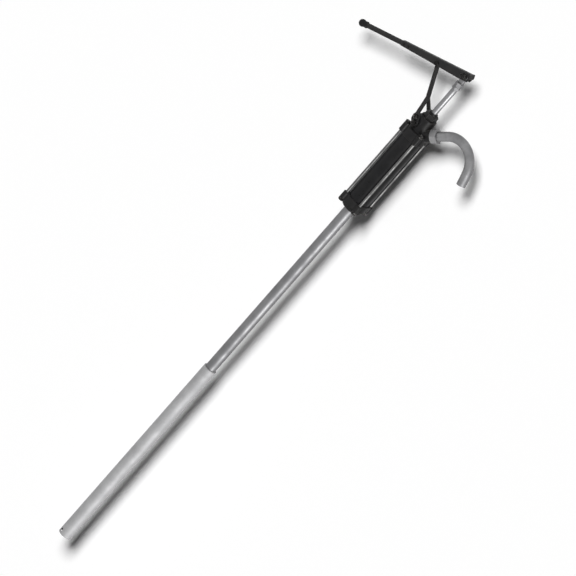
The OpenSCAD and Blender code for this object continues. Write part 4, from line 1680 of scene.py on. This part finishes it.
@dataclass
class Studio:
    """The pale surface that the pump lies on, the light and the camera.

    Attributes:
        azimuth: Turn of the camera round the pump axis, in degrees.
        elevation: Height of the camera above the level, in degrees.
        roll: How far the pump leans to the right in the picture, in degrees.
        aim: Height on the pump axis that the camera is aimed at, in metres.
        shift_right: How far right of the axis it is aimed, in metres.
        frame_width: Width of what the camera sees at the pump, in metres.
        lens: Focal length of the long lens.
        key_level: Light that the key lamp puts on the surface.
        key_angle: Apparent size of the key lamp, in degrees.
        key_way: Direction in which the key's light travels.
        sheen_level: Strength of the lamp that metal and gloss show.
        sheen_angle: Width of that lamp, in degrees.
        sheen_way: Direction in which that lamp's light travels.
        fill_level: Light that comes from all round.
        table_half: Half width of the surface, in metres.
        table_depth: Distance of the surface behind the pump axis, in metres.
        table_bounce: Share of the light that the surface throws back on the pump.
    """

    azimuth: float = 22.4
    elevation: float = 21.95
    roll: float = 41.245
    aim: float = -0.2052
    shift_right: float = 0.0102
    frame_width: float = 1.0769
    lens: float = 1200.0
    key_level: float = 0.935
    key_angle: float = 23.0
    key_way: tuple[float, float, float] = (0.006, 1.0, -0.636)
    sheen_level: float = 2.3
    sheen_angle: float = 26.0
    sheen_way: tuple[float, float, float] = (-0.850, 0.371, 0.374)
    fill_level: float = 0.06
    table_half: float = 6.0
    table_depth: float = 0.060
    table_bounce: float = 0.86

    def build(self) -> None:
        """Sets up the surface, the light and the camera."""
        scene = bpy.context.scene
        scene.view_settings.view_transform = "Standard"
        self.build_table()
        self.build_light()
        self.build_world()
        self.build_camera()

    def build_table(self) -> None:
        """Builds the pale surface behind the pump, seen from its front only."""
        y, r = self.table_depth, self.table_half
        corners = [(-r, y, -r), (r, y, -r), (r, y, r), (-r, y, r)]
        mesh = bpy.data.meshes.new("Table")
        mesh.from_pydata(corners, [], [(0, 1, 2, 3)])
        table = bpy.data.objects.new("Table", mesh)
        bpy.context.scene.collection.objects.link(table)
        mesh.materials.append(self.table_paint())

    def table_paint(self) -> bpy.types.Material:
        """Makes the surface's white, which only shows from its front and casts no shadow."""
        made = bpy.data.materials.new("table_white")
        wires = Wiring()
        wires.start(made)
        path = wires.node("ShaderNodeLightPath").outputs
        white = wires.blend(path["Is Camera Ray"], (self.table_bounce,) * 3, (1.0, 1.0, 1.0))
        paint = wires.feed(wires.node("ShaderNodeBsdfDiffuse"), Color=white)
        clear = wires.node("ShaderNodeBsdfTransparent")
        facing = wires.node("ShaderNodeNewGeometry")
        hidden = wires.sum("MAXIMUM", facing.outputs["Backfacing"], path["Is Shadow Ray"])
        surface = wires.choose(hidden, paint.outputs[0], clear.outputs[0])
        wires.end("ShaderNodeOutputMaterial", surface)
        return made

    def build_light(self) -> None:
        """Adds the broad key lamp, which casts the shadow, and the one that gloss shows."""
        facing = abs(Vector(self.key_way).normalized().y)
        key = self.lamp("Key", math.pi * self.key_level / facing, self.key_angle, self.key_way)
        key.visible_glossy = False
        sheen = self.lamp("Sheen", self.sheen_level, self.sheen_angle, self.sheen_way)
        sheen.visible_diffuse = False

    def lamp(self, name: str, energy: float, angle: float, way: Sequence[float]) -> bpy.types.Object:
        """Adds one distant lamp.

        Args:
            name: The lamp's name.
            energy: Its strength.
            angle: Its width, in degrees.
            way: Direction in which its light travels.

        Returns:
            The lamp's object.
        """
        data = bpy.data.lights.new(name, "SUN")
        data.energy, data.angle = energy, math.radians(angle)
        made = bpy.data.objects.new(name, data)
        made.rotation_mode = "QUATERNION"
        made.rotation_quaternion = Vector(way).to_track_quat("-Z", "Y")
        bpy.context.scene.collection.objects.link(made)
        return made

    def build_world(self) -> None:
        """Sets a soft fill all round that looks white to the camera and in gloss."""
        world = bpy.data.worlds.new("Surround")
        bpy.context.scene.world = world
        wires = Wiring()
        wires.start(world)
        fill, seen = (
            wires.feed(wires.node("ShaderNodeBackground"), Color=(1, 1, 1, 1), Strength=level).outputs[0]
            for level in (self.fill_level, 1.0)
        )
        path = wires.node("ShaderNodeLightPath").outputs
        direct = path["Is Camera Ray"]
        for name in ("Is Glossy Ray", "Is Transmission Ray"):
            direct = wires.sum("MAXIMUM", direct, path[name])
        wires.end("ShaderNodeOutputWorld", wires.choose(direct, fill, seen))

    def build_camera(self) -> None:
        """Adds the camera with a long lens, rolled so that the pump lies aslant."""
        a, e, roll = (math.radians(v) for v in (self.azimuth, self.elevation, self.roll))
        back = Vector((math.sin(a) * math.cos(e), -math.cos(a) * math.cos(e), math.sin(e)))
        side = Vector((math.cos(a), math.sin(a), 0))
        rise = back.cross(side)
        right = side * math.cos(roll) + rise * math.sin(roll)
        up = rise * math.cos(roll) - side * math.sin(roll)
        data = bpy.data.cameras.new("Camera")
        data.lens, data.sensor_width = self.lens, 36.0
        far = self.frame_width * self.lens / data.sensor_width
        data.clip_start, data.clip_end = 0.1, far * 4
        camera = bpy.data.objects.new("Camera", data)
        target = Vector((0, 0, self.aim)) + side * self.shift_right
        matrix = Matrix((right, up, back)).transposed().to_4x4()
        matrix.translation = target + back * far
        camera.matrix_world = matrix
        bpy.context.scene.collection.objects.link(camera)
        bpy.context.scene.camera = camera


def main() -> None:
    """Loads the frame, builds and dresses every sub-assembly, and lights it."""
    logging.basicConfig(level=logging.INFO, format="%(name)s %(message)s")
    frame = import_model()
    Studio().build()
    dresser = Dresser()
    ties = TieRods(dresser)
    for part in (
        SuctionTube(dresser),
        ties,
        Castings(dresser, ties=ties),
        Gland(dresser),
        Spout(dresser),
        FulcrumArm(dresser),
        Lever(dresser),
        PistonRod(dresser),
    ):
        part.build()
    KeptNodes(dresser).dress(frame["nodes"])


if __name__ == "__main__":
    main()
